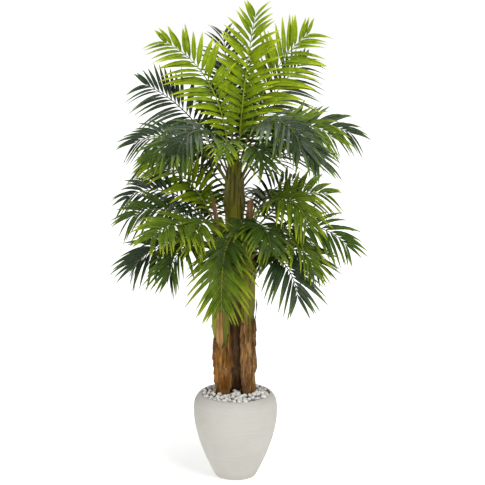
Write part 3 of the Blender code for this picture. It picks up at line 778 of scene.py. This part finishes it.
pot = {
    "outside": (
        (0.1255, 0.305), (0.133, 0.299), (0.1432, 0.284), (0.1475, 0.266), (0.1484, 0.244),
        (0.1466, 0.21), (0.1415, 0.179), (0.133, 0.145), (0.122, 0.112), (0.108, 0.076),
        (0.0925, 0.042), (0.0775, 0.012),
    ),
    "inside": ((0.1215, 0.3045), (0.124, 0.296), (0.1365, 0.266), (0.1392, 0.244), (0.137, 0.21)),
    "lip": ((0.1228, 0.3049), (0.1242, 0.3056)), "floor": ((0.0, 0.213), (0.136, 0.213)),
    "foot": ((0.076, 0.0085), (0.0735, 0.0042), (0.0705, 0.0012), (0.0668, 0.0), (0.05, 0.0), (0.0, 0.0)),
    "spacing": 0.0012, "innerSpacing": 0.004, "ribbed": (0.014, 0.296), "ribPitch": 0.0058,
    "ribDepth": 0.0006, "steps": 144, "color": (0.55, 0.532, 0.482), "darkerTone": (0.37, 0.35, 0.305),
}


def smoothProfile(stops, spacing):
    # Points along a smooth curve through (radius, height) stops.
    places = [Vector((a, b)) for a, b in stops]
    places = [places[0] * 2 - places[1]] + places + [places[-1] * 2 - places[-2]]
    found = []
    for i in range(1, len(places) - 2):
        before, start, end, after = places[i - 1 : i + 3]
        count = max(2, round((end - start).length / spacing))
        for step in range(count):
            t = step / count
            found.append(
                0.5
                * (
                    2 * start
                    + (end - before) * t
                    + (2 * before - 5 * start + 4 * end - after) * t * t
                    + (3 * start - before - 3 * end + after) * t**3
                )
            )
    found.append(places[-2])
    return found


def turnedMesh(name, profile, steps):
    # A closed body turned from a profile that starts and ends on the axis.
    points = [(0.0, 0.0, profile[0][1])]
    body = profile[1:-1]
    for radius, height in body:
        for i in range(steps):
            angle = 2 * math.pi * i / steps
            points.append((radius * math.cos(angle), radius * math.sin(angle), height))
    points.append((0.0, 0.0, profile[-1][1]))
    last = len(points) - 1
    faces = ringFaces(len(body) - 1, steps, 1, inward=True)
    low = last - steps
    for i in range(steps):
        j = (i + 1) % steps
        faces.append((0, 1 + i, 1 + j))
        faces.append((low + i, last, low + j))
    return newMesh(name, points, faces)


def addPot():
    ribbed = []
    ribLow, ribHigh = pot["ribbed"]
    for radius, height in smoothProfile(pot["outside"], pot["spacing"]):
        fade = clamped((ribHigh - height) / 0.01) * clamped((height - ribLow) / 0.01)
        wobble = 0.7 + 0.5 * noise.noise(Vector((0.0, 0.0, height * 90)))
        rib = pot["ribDepth"] * math.sin(2 * math.pi * height / pot["ribPitch"]) * wobble * fade
        ribbed.append((radius + rib, height))
    inner = [tuple(place) for place in smoothProfile(pot["inside"], pot["innerSpacing"])]
    profile = [*pot["floor"], *reversed(inner), *pot["lip"], *ribbed[1:], *pot["foot"]]
    mesh = turnedMesh("pot_shell", profile, pot["steps"])
    faceOutward(mesh)
    material, g, shader, place = newMaterial("pot_finish")
    grime = grimes(g, place, 11.0, 300.0)
    split = g.add("ShaderNodeSeparateXYZ", {0: place})
    height = split.outputs[2]
    ring = g.noise(g.stretched(place, (3.0, 3.0, 420.0)), 1.0, 3.0, 0.6)
    ring = g.mapped(ring, 0.35, 0.65)
    scratch = g.noise(g.stretched(place, (14.0, 14.0, 1500.0)), 1.0, 2.0, 0.7)
    color = g.mixed(g.mapped(grime["Blotch"], 0.36, 0.66, 0.0, 0.35), pot["color"], (0.475, 0.455, 0.405))
    color = g.mixed(g.times(ring, 0.38), color, (0.620, 0.605, 0.560))
    color = g.over(color, (0.400, 0.382, 0.335), scratch, 0.55, 0.75, 0.0, 0.30)
    # Dust specks.
    color = g.mixed(g.times(grime["Speck"], 0.20), color, pot["darkerTone"])
    # Darker towards the bottom.
    color = g.over(color, pot["darkerTone"], height, 0.0, 0.03, 0.35, 0.0)
    g.feed(shader, "Base Color", color)
    g.feed(shader, "Roughness", g.mapped(grime["Blotch"], 0.3, 0.7, 0.52, 0.70))
    relief = g.plus(g.times(ring, 0.8), g.times(grime["Grain"], 0.4))
    relief = g.plus(relief, g.times(scratch, 0.5))
    addBump(g, shader, relief, 0.0004, 0.7)
    piece = newPiece("pot_shell", mesh, material)
    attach(piece, "root")
    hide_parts("pot")
    print("pot turned")


# The pebbles and the soil under them.

pebbles = {
    "spacing": 0.015, "levels": ((0.284, 0.126), (0.295, 0.12), (0.3035, 0.1155)),
    "size": (0.0095, 0.0072, 0.008), "shapes": 6, "stemGap": 0.006, "mound": 0.006, "moundReach": 0.12,
}


def chipMesh(number):
    # One angular, tumbled chip about one unit in radius.
    shape = bmesh.new()
    bmesh.ops.create_icosphere(shape, subdivisions=2, radius=1.0)
    for vert in shape.verts:
        point = vert.co.copy()
        seedShift = Vector((number * 3.7, number * 1.3, 0.0))
        lump = noise.noise(point * 0.9 + seedShift) * 0.42 + noise.noise(point * 2.4 + seedShift) * 0.13
        point *= 1 + lump
        for cut in range(5):
            a = number * 2.1 + cut * 2.4
            b = number * 0.9 + cut * 1.7
            axis = aim(b, a)
            over = point.dot(axis) - 0.74
            if over > 0:
                point -= axis * over * 0.85
        vert.co = point
    mesh = bpy.data.meshes.new("chip")
    shape.to_mesh(mesh)
    shape.free()
    for polygon in mesh.polygons:
        polygon.use_smooth = True
    return mesh


def makePebbleTree():
    inputs = (
        ("Beds", "Geometry"), ("Chips", "Collection"), ("Spacing", "Float"), ("Size", "Vector"),
        ("Seed", "Int"), ("Finish", "Material"),
    )
    tree, g, given, target = makeGroup("pebbleBed", "GeometryNodeTree", inputs, (("Pebbles", "Geometry"),))
    points = g.add(
        "GeometryNodeDistributePointsOnFaces", {"Mesh": given["Beds"]}, distribute_method="POISSON"
    )
    g.feed(points, "Distance Min", given["Spacing"])
    g.feed(points, "Density Max", 9000.0)
    g.feed(points, "Seed", given["Seed"])

    turn = g.add(
        "ShaderNodeCombineXYZ",
        {"X": g.random(1, -0.5, 0.5), "Y": g.random(2, -0.5, 0.5), "Z": g.random(3, 0.0, 6.28)},
    )
    rotation = g.add("FunctionNodeEulerToRotation", {0: turn.outputs[0]}).outputs[0]
    size = g.scaled(given["Size"], g.random(4, 0.82, 1.25))
    chips = g.add("GeometryNodeCollectionInfo", {"Collection": given["Chips"], "Separate Children": True})
    g.feed(chips, "Reset Children", True)
    placed = g.placed(points.outputs[0], chips.outputs[0], rotation, size, pick=True)
    tinted = g.stored(placed, "tint", g.random(5, 0.0, 1.0))
    g.feed(target, "Pebbles", g.finished(g.joined(tinted), given["Finish"]))
    return tree


def bedMesh():
    # Three discs, each a little higher, with room left for the stems.
    points = []
    faces = []
    cell = 0.004
    half = cell / 2
    corners = ((-1, -1), (1, -1), (1, 1), (-1, 1))
    rooms = [(*spec["foot"], spec["bark"][0][0] + pebbles["stemGap"]) for spec in stems.values()]
    for height, reach in pebbles["levels"]:
        cells = int(reach / cell) + 1
        for i in range(-cells, cells):
            for j in range(-cells, cells):
                x = (i + 0.5) * cell
                y = (j + 0.5) * cell
                if math.hypot(x, y) > reach:
                    continue
                if any(math.hypot(x - a, y - b) < room for a, b, room in rooms):
                    continue
                z = height + pebbles["mound"] * (1 - (math.hypot(x, y) / pebbles["moundReach"]) ** 2)
                start = len(points)
                points += [(x + a * half, y + b * half, z) for a, b in corners]
                faces.append((start, start + 1, start + 2, start + 3))
    return newMesh("beds", points, faces)


def addPebbles():
    material, g, shader, place = newMaterial("marble_chip")
    tint = attribute(g, "tint")
    grime = grimes(g, place, 60.0, 700.0)
    vein = g.noise(place, 45.0, 5.0, 0.6, 2.5)
    vein = g.mapped(g.math("ABSOLUTE", g.math("SUBTRACT", vein, 0.5)), 0.0, 0.035, 0.45, 0.0)
    color = g.mixed(tint, (0.76, 0.74, 0.69), (0.93, 0.92, 0.89))
    color = g.over(color, (0.66, 0.63, 0.57), grime["Blotch"], 0.42, 0.68, 0.0, 0.35)
    color = g.mixed(vein, color, (0.55, 0.53, 0.50))
    color = g.mixed(g.times(grime["Speck"], 0.25), color, (0.35, 0.33, 0.30))
    g.feed(shader, "Base Color", color)
    g.feed(shader, "Roughness", g.mapped(grime["Blotch"], 0.3, 0.7, 0.38, 0.60))
    relief = g.plus(g.times(grime["Grain"], 0.5), grime["Blotch"])
    addBump(g, shader, relief, 0.0006, 0.8)
    group = bpy.data.collections.new("chips")
    for number in range(pebbles["shapes"]):
        chip = bpy.data.objects.new(f"chip_{number}", chipMesh(number + 1))
        group.objects.link(chip)
    size = pebbles["size"]
    values = {"Chips": group, "Spacing": pebbles["spacing"], "Size": size, "Seed": 5, "Finish": material}
    piece = bakeTree("pebble_dressing", bedMesh(), makePebbleTree(), values)
    for chip in list(group.objects):
        bpy.data.objects.remove(chip)
    bpy.data.collections.remove(group)
    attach(piece, "root")
    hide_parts("pebbles")
    print("pebbles laid:", len(piece.data.polygons), "faces")


def finishSoil():
    material, g, shader, place = newMaterial("potting_soil")
    grime = grimes(g, place, 40.0, 260.0)
    crumbs = g.add("ShaderNodeTexVoronoi", {"Vector": place, "Scale": 180.0}).outputs["Distance"]
    color = g.mixed(g.mapped(grime["Blotch"], 0.35, 0.65), (0.030, 0.018, 0.010), (0.095, 0.060, 0.035))
    color = g.mixed(g.times(grime["Speck"], 0.5), color, (0.22, 0.17, 0.11))
    g.feed(shader, "Base Color", color)
    g.feed(shader, "Roughness", g.mapped(grime["Blotch"], 0.3, 0.7, 0.82, 0.98))
    addBump(g, shader, g.plus(crumbs, grime["Grain"]), 0.003, 1.0)
    soil = frame["nodes"]["soil"]
    soil.data.materials.clear()
    soil.data.materials.append(material)
    print("soil finished")


# Bark.

barks = {
    "left": {
        "light": (0.52, 0.25, 0.055), "mid": (0.3, 0.125, 0.026), "deep": (0.08, 0.032, 0.007),
        "stain": (0.23, 0.135, 0.065),
        "layers": ((0.345, 0.0018, 0.4), (0.405, 0.002, 1.9), (0.452, 0.0016, 3.3)), "slot": "bark_tan",
    },
    "middle": {
        "light": (0.34, 0.21, 0.105), "mid": (0.18, 0.088, 0.032), "deep": (0.052, 0.024, 0.01),
        "stain": (0.15, 0.105, 0.08),
        "layers": ((0.38, 0.0016, 2.2), (0.48, 0.0018, 0.3), (0.59, 0.0018, 4.0), (0.68, 0.0016, 1.0)),
        "slot": "bark_dark",
    },
    "right": {
        "light": (0.54, 0.33, 0.14), "mid": (0.34, 0.165, 0.045), "deep": (0.1, 0.042, 0.016),
        "stain": (0.11, 0.048, 0.032),
        "layers": ((0.36, 0.0015, 5.1), (0.43, 0.0017, 3.0), (0.505, 0.0018, 0.9)), "slot": "bark_tan",
    },
}
threads = {"Density": 3400.0, "Length": 0.062, "Width": 0.0011, "Lift": 0.02}
barkShape = {
    "columns": 96,
    "rowPitch": 0.0038,
    "ridge": 0.0011,
    "fibre": 0.0007,
    "lump": 0.0009,
    "foot": 0.256,
    "turnIn": (0.0012, 0.030, 0.060),
}


def makeBarkMaterial(name, look):
    material, g, shader, place = newMaterial("bark_" + name)
    fibre = fibres(g, place, 420.0, 0.045, 16.0)
    coarse = fibres(g, place, 75.0, 0.16, 12.0)
    split = g.add("ShaderNodeSeparateXYZ", {0: place})
    color = g.mixed(g.mapped(fibre["Streak"], 0.34, 0.60), look["deep"], look["mid"])
    color = g.over(color, look["light"], coarse["Fibre"], 0.46, 0.68, 0.0, 0.85)
    color = g.over(color, look["light"], fibre["Fibre"], 0.52, 0.80, 0.0, 0.65)
    color = g.over(color, look["stain"], coarse["Patch"], 0.52, 0.62, 0.0, 0.70)
    color = g.over(color, look["deep"], fibre["Fibre"], 0.40, 0.30, 0.0, 0.70)
    # A painted highlight on the torn edge of each bark layer, and a painted shadow just above it.
    lip = attribute(g, "lip")
    color = g.over(color, look["light"], lip, 0.0, 1.0, 0.0, 0.60)
    color = g.over(color, look["deep"], lip, 0.0, -1.0, 0.0, 0.85)
    color = g.over(color, look["deep"], split.outputs[2], 0.30, 0.36, 0.55, 0.0)
    g.feed(shader, "Base Color", color)
    shader.inputs["Specular IOR Level"].default_value = 0.2
    g.feed(shader, "Roughness", g.mapped(fibre["Fibre"], 0.3, 0.8, 0.92, 0.68))
    relief = g.plus(fibre["Fibre"], g.times(coarse["Fibre"], 0.8))
    addBump(g, shader, relief, 0.0016, 0.9)
    return material


def onStem(stem, angle, radius, height):
    center = stemCenter(stem, height)
    return (center.x + radius * math.cos(angle), center.y + radius * math.sin(angle), height)


def barkRadius(stem, angle, height):
    # The bark's surface: long ridges, fine fibres, and ragged lips where one layer ends over the next. The
    # lip value is 1 on a layer's torn edge, painted as a highlight, and -1 in the painted shadow just above
    # it.
    spec = stems[stem]
    look = barks[stem]
    base = between(spec["bark"], height) - 0.0024
    around = level(angle)
    shift = Vector((len(stem) * 5.3, 0.0, 0.0))
    ridge = noise.noise(around * 4.2 + shift + Vector((0.0, 0.0, height * 9.0)))
    fine = noise.noise(around * 15.0 + shift + Vector((0.0, 0.0, height * 22.0)))
    lump = noise.noise(around * 1.4 + shift + Vector((0.0, 0.0, height * 26.0)))
    radius = base + barkShape["ridge"] * ridge + barkShape["fibre"] * fine + barkShape["lump"] * lump
    lip = 0.0
    for place, step, phase in look["layers"]:
        rag = 0.034 * noise.noise(around * 2.6 + Vector((phase * 7, 0.0, 0.0)))
        rag += 0.014 * noise.noise(around * 9.0 + Vector((0.0, phase * 7, 0.0)))
        edge = place + rag + 0.012 * math.sin(angle + phase)
        lift = clamped((edge - height) / 0.0035)
        fall = clamped((height - (place - 0.085)) / 0.06)
        radius += step * lift * fall
        above = height - edge
        if 0.0 < above < 0.012:
            lip = min(lip, above / 0.012 - 1)
        elif -0.009 < above <= 0.0:
            lip = max(lip, 1 + above / 0.009)
    return radius, lip


def addBark(stem):
    spec = stems[stem]
    look = barks[stem]
    columns = barkShape["columns"]
    start = barkShape["foot"]
    top = spec["edge"]
    rows = int((top - start) / barkShape["rowPitch"])
    points = []
    teeth = []
    lips = []
    for i in range(columns):
        angle = 2 * math.pi * i / columns
        around = level(angle)
        jag = noise.noise(around * 3.0 + Vector((9.1, len(stem), 0.0))) * 1.5
        jag += noise.noise(around * 12.0 + Vector((1.7, len(stem), 0.0))) * 0.8
        teeth.append(spec["rag"] * jag)
    for row in range(rows + 1):
        share = row / rows
        for i in range(columns):
            angle = 2 * math.pi * i / columns
            height = start + (top - start) * share + teeth[i] * max(0.0, (share - 0.55) / 0.45) ** 1.5
            radius, lip = barkRadius(stem, angle, height)
            lips.append(lip)
            if row == rows:
                radius -= 0.0007
            points.append(onStem(stem, angle, radius, height))
    # The sleeve turns in over the edge and runs down inside.
    bore = spec["shaft"][0][0] + 0.0012
    for depth in barkShape["turnIn"]:
        for i in range(columns):
            angle = 2 * math.pi * i / columns
            height = top + teeth[i] * (1.0 if depth < 0.02 else 0.3) - depth
            points.append(onStem(stem, angle, bore, height))
    faces = ringFaces(rows + 3, columns)
    faces.append(tuple(reversed(range(columns))))
    last = (rows + 3) * columns
    faces.append(tuple(range(last, last + columns)))
    mesh = newMesh("bark_" + stem, points, faces)
    # The turned-in sleeve is painted in shadow.
    setPointValues(mesh, "lip", lips + [-1.0] * (len(points) - len(lips)))
    return mesh, makeBarkMaterial(stem, look)


def fibreTemplate():
    # A flat tapering thread one unit long, closed, with a slight curl.
    points = []
    rows = 6
    for row in range(rows):
        share = row / rows
        wide = 0.5 * (1 - share) ** 0.6 * min(1.0, 0.4 + share * 4)
        curl = 0.035 * share * share
        for x, z in ((-wide, 0.0), (0.0, 0.35 * wide), (wide, 0.0), (0.0, -0.35 * wide)):
            points.append((x, share, z + curl))
    points.append((0.0, 1.0, 0.035))
    faces = ringFaces(rows - 1, 4, inward=True)
    last = (rows - 1) * 4
    for i in range(4):
        faces.append((last + i, last + 4, last + (i + 1) % 4))
    faces.append((0, 1, 2, 3))
    mesh = newMesh("thread", points, faces)
    faceOutward(mesh)
    return mesh


def makeFibreTree():
    # Loose threads lying along a bark surface and joined to it.
    inputs = (
        ("Bark", "Geometry"), ("Thread", "Object"), ("Density", "Float"), ("Length", "Float"),
        ("Width", "Float"), ("Lift", "Float"), ("Seed", "Int"), ("Finish", "Material"),
    )
    tree, g, given, target = makeGroup("barkThreads", "GeometryNodeTree", inputs, (("Bark", "Geometry"),))
    position = g.add("GeometryNodeInputPosition").outputs[0]
    height = g.add("ShaderNodeSeparateXYZ", {0: position}).outputs[2]
    exposed = g.math("GREATER_THAN", height, 0.285)
    points = g.add(
        "GeometryNodeDistributePointsOnFaces", {"Mesh": given["Bark"]}, distribute_method="RANDOM"
    )
    g.feed(points, "Density", given["Density"])
    g.feed(points, "Seed", given["Seed"])
    g.feed(points, "Selection", exposed)

    normal = points.outputs["Normal"]
    sideways = g.vector("CROSS_PRODUCT", normal, (0.0, 0.0, 1.0))
    up = g.vector("ADD", (0.0, 0.0, 1.0), g.scaled(sideways, g.random(1, -0.06, 0.06)))
    up = g.vector("ADD", up, g.scaled(normal, g.times(given["Lift"], g.random(2, -0.4, 1.0))))
    turn = g.turned(up, normal)
    wide = g.times(given["Width"], g.random(3, 0.6, 1.5))
    long = g.times(given["Length"], g.random(4, 0.35, 1.0))
    size = g.add("ShaderNodeCombineXYZ", {"X": wide, "Y": long, "Z": long})
    thread = g.add("GeometryNodeObjectInfo", {"Object": given["Thread"], "As Instance": True})
    placed = g.placed(points.outputs[0], thread.outputs["Geometry"], turn, size.outputs[0])
    whole = g.joined(given["Bark"], placed)
    g.feed(target, "Bark", g.finished(whole, given["Finish"]))
    return tree


def addTrunks():
    thread = newPiece("thread", fibreTemplate())
    tree = makeFibreTree()
    for number, stem in enumerate(stems):
        mesh, material = addBark(stem)
        values = {**threads, "Thread": thread, "Seed": 31 + number, "Finish": material}
        piece = bakeTree("trunk_bark_" + stem, mesh, tree, values)
        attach(piece, "root")
        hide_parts("trunk_" + stem)
    bpy.data.objects.remove(thread)
    print("trunks wrapped")


# Green shafts.

shaftShape = {
    "columns": 80,
    "rowPitch": 0.005,
    "ridge": 0.0005,
    "ridges": 26,
    "seam": 0.0016,
    "wraps": (-2.6, 3.2, -2.6, 3.2),
    "wrapStep": 1.65,
    "wrapWidth": 0.9,
}
shaftLook = {
    "left": {
        "green": (0.100, 0.140, 0.008), "yellow": (0.260, 0.270, 0.020), "brown": (0.075, 0.052, 0.008)
    },
    "middle": {
        "green": (0.105, 0.115, 0.006), "yellow": (0.330, 0.300, 0.022), "brown": (0.062, 0.048, 0.006)
    },
    "right": {
        "green": (0.105, 0.130, 0.008), "yellow": (0.250, 0.230, 0.020), "brown": (0.080, 0.050, 0.010)
    },
}


def makeShaftMaterial(stem):
    look = shaftLook[stem]
    material, g, shader, place = newMaterial("shaft_" + stem)
    fibre = fibres(g, place, 300.0, 0.020, 12.0)
    fine = fibres(g, place, 900.0, 0.012, 30.0)
    color = g.mixed(g.mapped(fibre["Streak"], 0.40, 0.60), look["green"], look["yellow"])
    color = g.over(color, look["brown"], fibre["Fibre"], 0.55, 0.70, 0.0, 0.80)
    color = g.over(color, look["yellow"], fine["Fibre"], 0.50, 0.75, 0.0, 0.35)
    color = g.over(color, look["brown"], fibre["Patch"], 0.55, 0.70, 0.0, 0.45)
    color = g.over(color, look["brown"], attribute(g, "groove"), 0.62, 1.0, 0.0, 0.80)
    color = g.over(color, look["yellow"], attribute(g, "groove"), 0.28, 0.0, 0.0, 0.45)
    shader.inputs["Specular IOR Level"].default_value = 0.25
    g.feed(shader, "Base Color", color)
    g.feed(shader, "Roughness", g.mapped(fine["Fibre"], 0.3, 0.7, 0.42, 0.62))
    addBump(g, shader, g.plus(fine["Fibre"], fibre["Fibre"]), 0.0007, 0.8)
    return material


def addShafts():
    for stem in stems:
        rings = stems[stem]["shaft"]
        low = rings[0][1] + 0.03
        high = rings[-1][1]
        columns = shaftShape["columns"]
        wide = shaftShape["wrapWidth"]
        rows = int((high - low) / shaftShape["rowPitch"])
        points = []
        grooves = []
        for row in range(rows + 1):
            height = low + (high - low) * row / rows
            base = between(rings, height)
            for i in range(columns):
                angle = 2 * math.pi * i / columns
                around = level(angle)
                waver = 2 * noise.noise(around * 2 + Vector((0, 0, height * 4)))
                ridge = math.sin(shaftShape["ridges"] * angle + waver)
                radius = base + shaftShape["ridge"] * ridge * min(1.0, base / 0.02)
                radius += 0.0010 * noise.noise(around * 2.2 + Vector((len(stem), 0.0, height * 8.0)))
                for number, lean in enumerate(shaftShape["wraps"]):
                    # Each sheath's free edge runs up the shaft and leans round it.
                    edge = number * shaftShape["wrapStep"] + len(stem) + (height - low) * lean
                    off = (angle - edge) % (2 * math.pi)
                    if off < wide and base > 0.012:
                        radius += shaftShape["seam"] * (1 - off / wide) * min(1.0, off / 0.05)
                points.append(onStem(stem, angle, radius, height))
                grooves.append(0.5 - 0.5 * ridge)
        faces = ringFaces(rows, columns)
        faces.append(tuple(reversed(range(columns))))
        last = rows * columns
        peak = len(points)
        tip = stemCenter(stem, high + 0.006)
        points.append(tuple(tip))
        for i in range(columns):
            faces.append((last + i, last + (i + 1) % columns, peak))
        mesh = newMesh("shaft_" + stem, points, faces)
        setPointValues(mesh, "groove", grooves + [0.0])
        piece = newPiece("green_shaft_" + stem, mesh, makeShaftMaterial(stem))
        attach(piece, "root")
        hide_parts("shaft_" + stem)
    print("shafts grown")


# Dry husks: torn, fibrous strips of old sheath.

husks = {
    "left_tongue": {
        "stem": "left", "angle": 262, "low": 0.47, "high": 0.612, "gap": 0.0322, "width": 0.023,
        "flare": -0.0005, "foot": 0.2, "tuck": 0.003, "color": (0.48, 0.275, 0.085),
        "deep": (0.2, 0.09, 0.022), "tear": 0.012,
    },
    "left_stub": {
        "stem": "left", "angle": 205, "low": 0.9, "high": 0.998, "gap": 0.0215, "width": 0.038,
        "foot": 0.7, "tuck": 0.005, "flare": 0.005, "color": (0.4, 0.205, 0.09),
        "deep": (0.13, 0.055, 0.026), "tear": 0.02,
    },
    "right_stub": {
        "stem": "right", "angle": 300, "low": 0.915, "high": 1.003, "gap": 0.015, "width": 0.03,
        "foot": 0.7, "tuck": 0.0015, "flare": 0.002, "color": (0.4, 0.22, 0.095),
        "deep": (0.14, 0.066, 0.03), "tear": 0.018,
    },
    "right_thorn": {
        "stem": "right", "angle": 350, "low": 0.56, "high": 0.642, "gap": 0.0262, "width": 0.01,
        "foot": 0.7, "tuck": 0.0045, "flare": 0.004, "color": (0.11, 0.055, 0.035),
        "deep": (0.03, 0.016, 0.012), "tear": 0.014,
    },
    "middle_collar": {
        "stem": "middle", "angle": 262, "low": 0.745, "high": 0.856, "gap": 0.03, "width": 0.036,
        "foot": 0.8, "tuck": 0.003, "flare": 0.005, "color": (0.18, 0.1, 0.052),
        "deep": (0.05, 0.026, 0.018), "tear": 0.016,
    },
}


huskShape = {"columns": 27, "rows": 34, "wall": 0.0009}


def addHusks():
    for number, (name, spec) in enumerate(husks.items()):
        columns = huskShape["columns"]
        rows = huskShape["rows"]
        points = []
        for row in range(rows + 1):
            share = row / rows
            for column in range(columns):
                across = 2 * column / (columns - 1) - 1
                torn = noise.noise(Vector((across * 6.0, number * 4.1, 0.0)))
                torn += 0.7 * noise.noise(Vector((across * 22.0, number * 4.1, 3.0)))
                top = spec["high"] + spec["tear"] * torn - spec["tear"] * 0.9 * across * across
                height = spec["low"] + (top - spec["low"]) * share
                center = stemCenter(spec["stem"], height)
                wide = spec["width"] * (0.62 + 0.50 * math.sin(math.pi * min(0.80, share + 0.10))) / 2
                wide *= min(1.0, spec["foot"] + 3.5 * share)
                wide *= 1 + 0.10 * noise.noise(Vector((share * 7.0, number, across)))
                reach = spec["gap"] + spec["flare"] * share**2
                reach -= spec["tuck"] * max(0.0, 1 - share * 3)
                reach += 0.0010 * noise.noise(Vector((across * 9.0, share * 3.0, number)))
                reach += 0.0016 * across * across * share
                turn = math.radians(spec["angle"]) + across * wide / reach
                points.append(center + Vector((reach * math.cos(turn), reach * math.sin(turn), 0.0)))
        faces = []
        for row in range(rows):
            for column in range(columns - 1):
                i = row * columns + column
                faces.append((i, i + 1, i + columns + 1, i + columns))
        mesh = newMesh("husk_" + name, points, faces)
        material, g, shader, place = newMaterial("husk_" + name)
        fibre = fibres(g, place, 600.0, 0.04, 24.0)
        color = g.mixed(g.mapped(fibre["Streak"], 0.36, 0.62), spec["deep"], spec["color"])
        pale = tuple(min(1.0, c * 1.45 + 0.01) for c in spec["color"])
        color = g.over(color, pale, fibre["Fibre"], 0.55, 0.80, 0.0, 0.7)
        color = g.over(color, spec["deep"], fibre["Patch"], 0.50, 0.65, 0.0, 0.5)
        g.feed(shader, "Base Color", color)
        g.feed(shader, "Roughness", g.mapped(fibre["Fibre"], 0.3, 0.7, 0.95, 0.75))
        addBump(g, shader, fibre["Fibre"], 0.0012, 0.9)
        piece = newPiece("dry_husk_" + name, mesh, material)
        wall = piece.modifiers.new("Wall", "SOLIDIFY")
        wall.thickness = huskShape["wall"]
        wall.offset = 1.0
        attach(piece, "root")
        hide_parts("husk_" + name)
    print("husks set")


# Floor, light and camera.

studio = {
    "floor": (0.90, 0.90, 0.895),
    "world": 0.36,
    "glow": 0.42,
    "floorReach": 40.0,
    "paleFrom": 1.0,
    "paleTo": 4.0,
    "farGlow": 0.9,
    "lights": (
        ("key", (1.8, -2.6, 3.2), (0.0, 0.0, 0.9), 95.0, 1.6),
        ("fill", (-2.8, -2.0, 1.8), (0.0, 0.0, 0.8), 30.0, 2.2),
        ("top", (0.0, 0.6, 3.6), (0.0, 0.0, 1.0), 50.0, 1.8),
    ),
    "cameraDistance": 4.5,
    "cameraHeight": 1.65,
    "cameraSide": 0.025,
    "pitch": 10.12,
    "lens": 97.12,
}


def addFloor():
    # A flat pale floor that pales to white with distance, so that it meets the white surroundings unseen.
    reach = studio["floorReach"]
    corners = [(-reach, -reach, 0.0), (reach, -reach, 0.0), (reach, reach, 0.0), (-reach, reach, 0.0)]
    material, g, shader, place = newMaterial("paleFloor")
    g.feed(shader, "Base Color", studio["floor"])
    shader.inputs["Roughness"].default_value = 0.9
    shader.inputs["Emission Color"].default_value = (1.0, 1.0, 1.0, 1.0)
    far = g.mapped(g.vector("LENGTH", place, out=1), studio["paleFrom"], studio["paleTo"])
    seen = g.add("ShaderNodeLightPath").outputs["Is Camera Ray"]
    lift = g.times(far, seen)
    g.feed(shader, "Emission Strength", g.mapped(lift, 0.0, 1.0, studio["glow"], studio["farGlow"]))
    newPiece("studio_floor", newMesh("studio_floor", corners, [(0, 1, 2, 3)]), material)


def addLight(name, place, target, power, size):
    lamp = bpy.data.lights.new(name, "AREA")
    lamp.energy = power
    lamp.size = size
    holder = bpy.data.objects.new(name, lamp)
    holder.location = place
    holder.rotation_euler = (Vector(target) - Vector(place)).to_track_quat("-Z", "Y").to_euler()
    bpy.context.scene.collection.objects.link(holder)


def addStudio():
    addFloor()
    world = bpy.data.worlds.new("studio")
    world.use_nodes = True
    # The surroundings light the plant softly, and look white where the camera sees past the floor.
    g = Graph(world.node_tree)
    background = world.node_tree.nodes["Background"]
    background.inputs[0].default_value = (1.0, 1.0, 1.0, 1.0)
    seen = g.add("ShaderNodeLightPath").outputs["Is Camera Ray"]
    g.feed(background, 1, g.mapped(seen, 0.0, 1.0, studio["world"], 1.0))
    bpy.context.scene.world = world
    for light in studio["lights"]:
        addLight(*light)
    camera = bpy.data.cameras.new("camera")
    camera.sensor_width = 36.0
    camera.lens = studio["lens"]
    camera.dof.use_dof = False
    holder = bpy.data.objects.new("camera", camera)
    holder.location = (studio["cameraSide"], -studio["cameraDistance"], studio["cameraHeight"])
    holder.rotation_euler = (math.radians(90 - studio["pitch"]), 0.0, 0.0)
    bpy.context.scene.collection.objects.link(holder)
    bpy.context.scene.camera = holder
    bpy.context.scene.view_settings.view_transform = "Standard"
    print("studio lit")


addPot()
finishSoil()
addPebbles()
addTrunks()
addShafts()
addHusks()
addFronds()
addStudio()
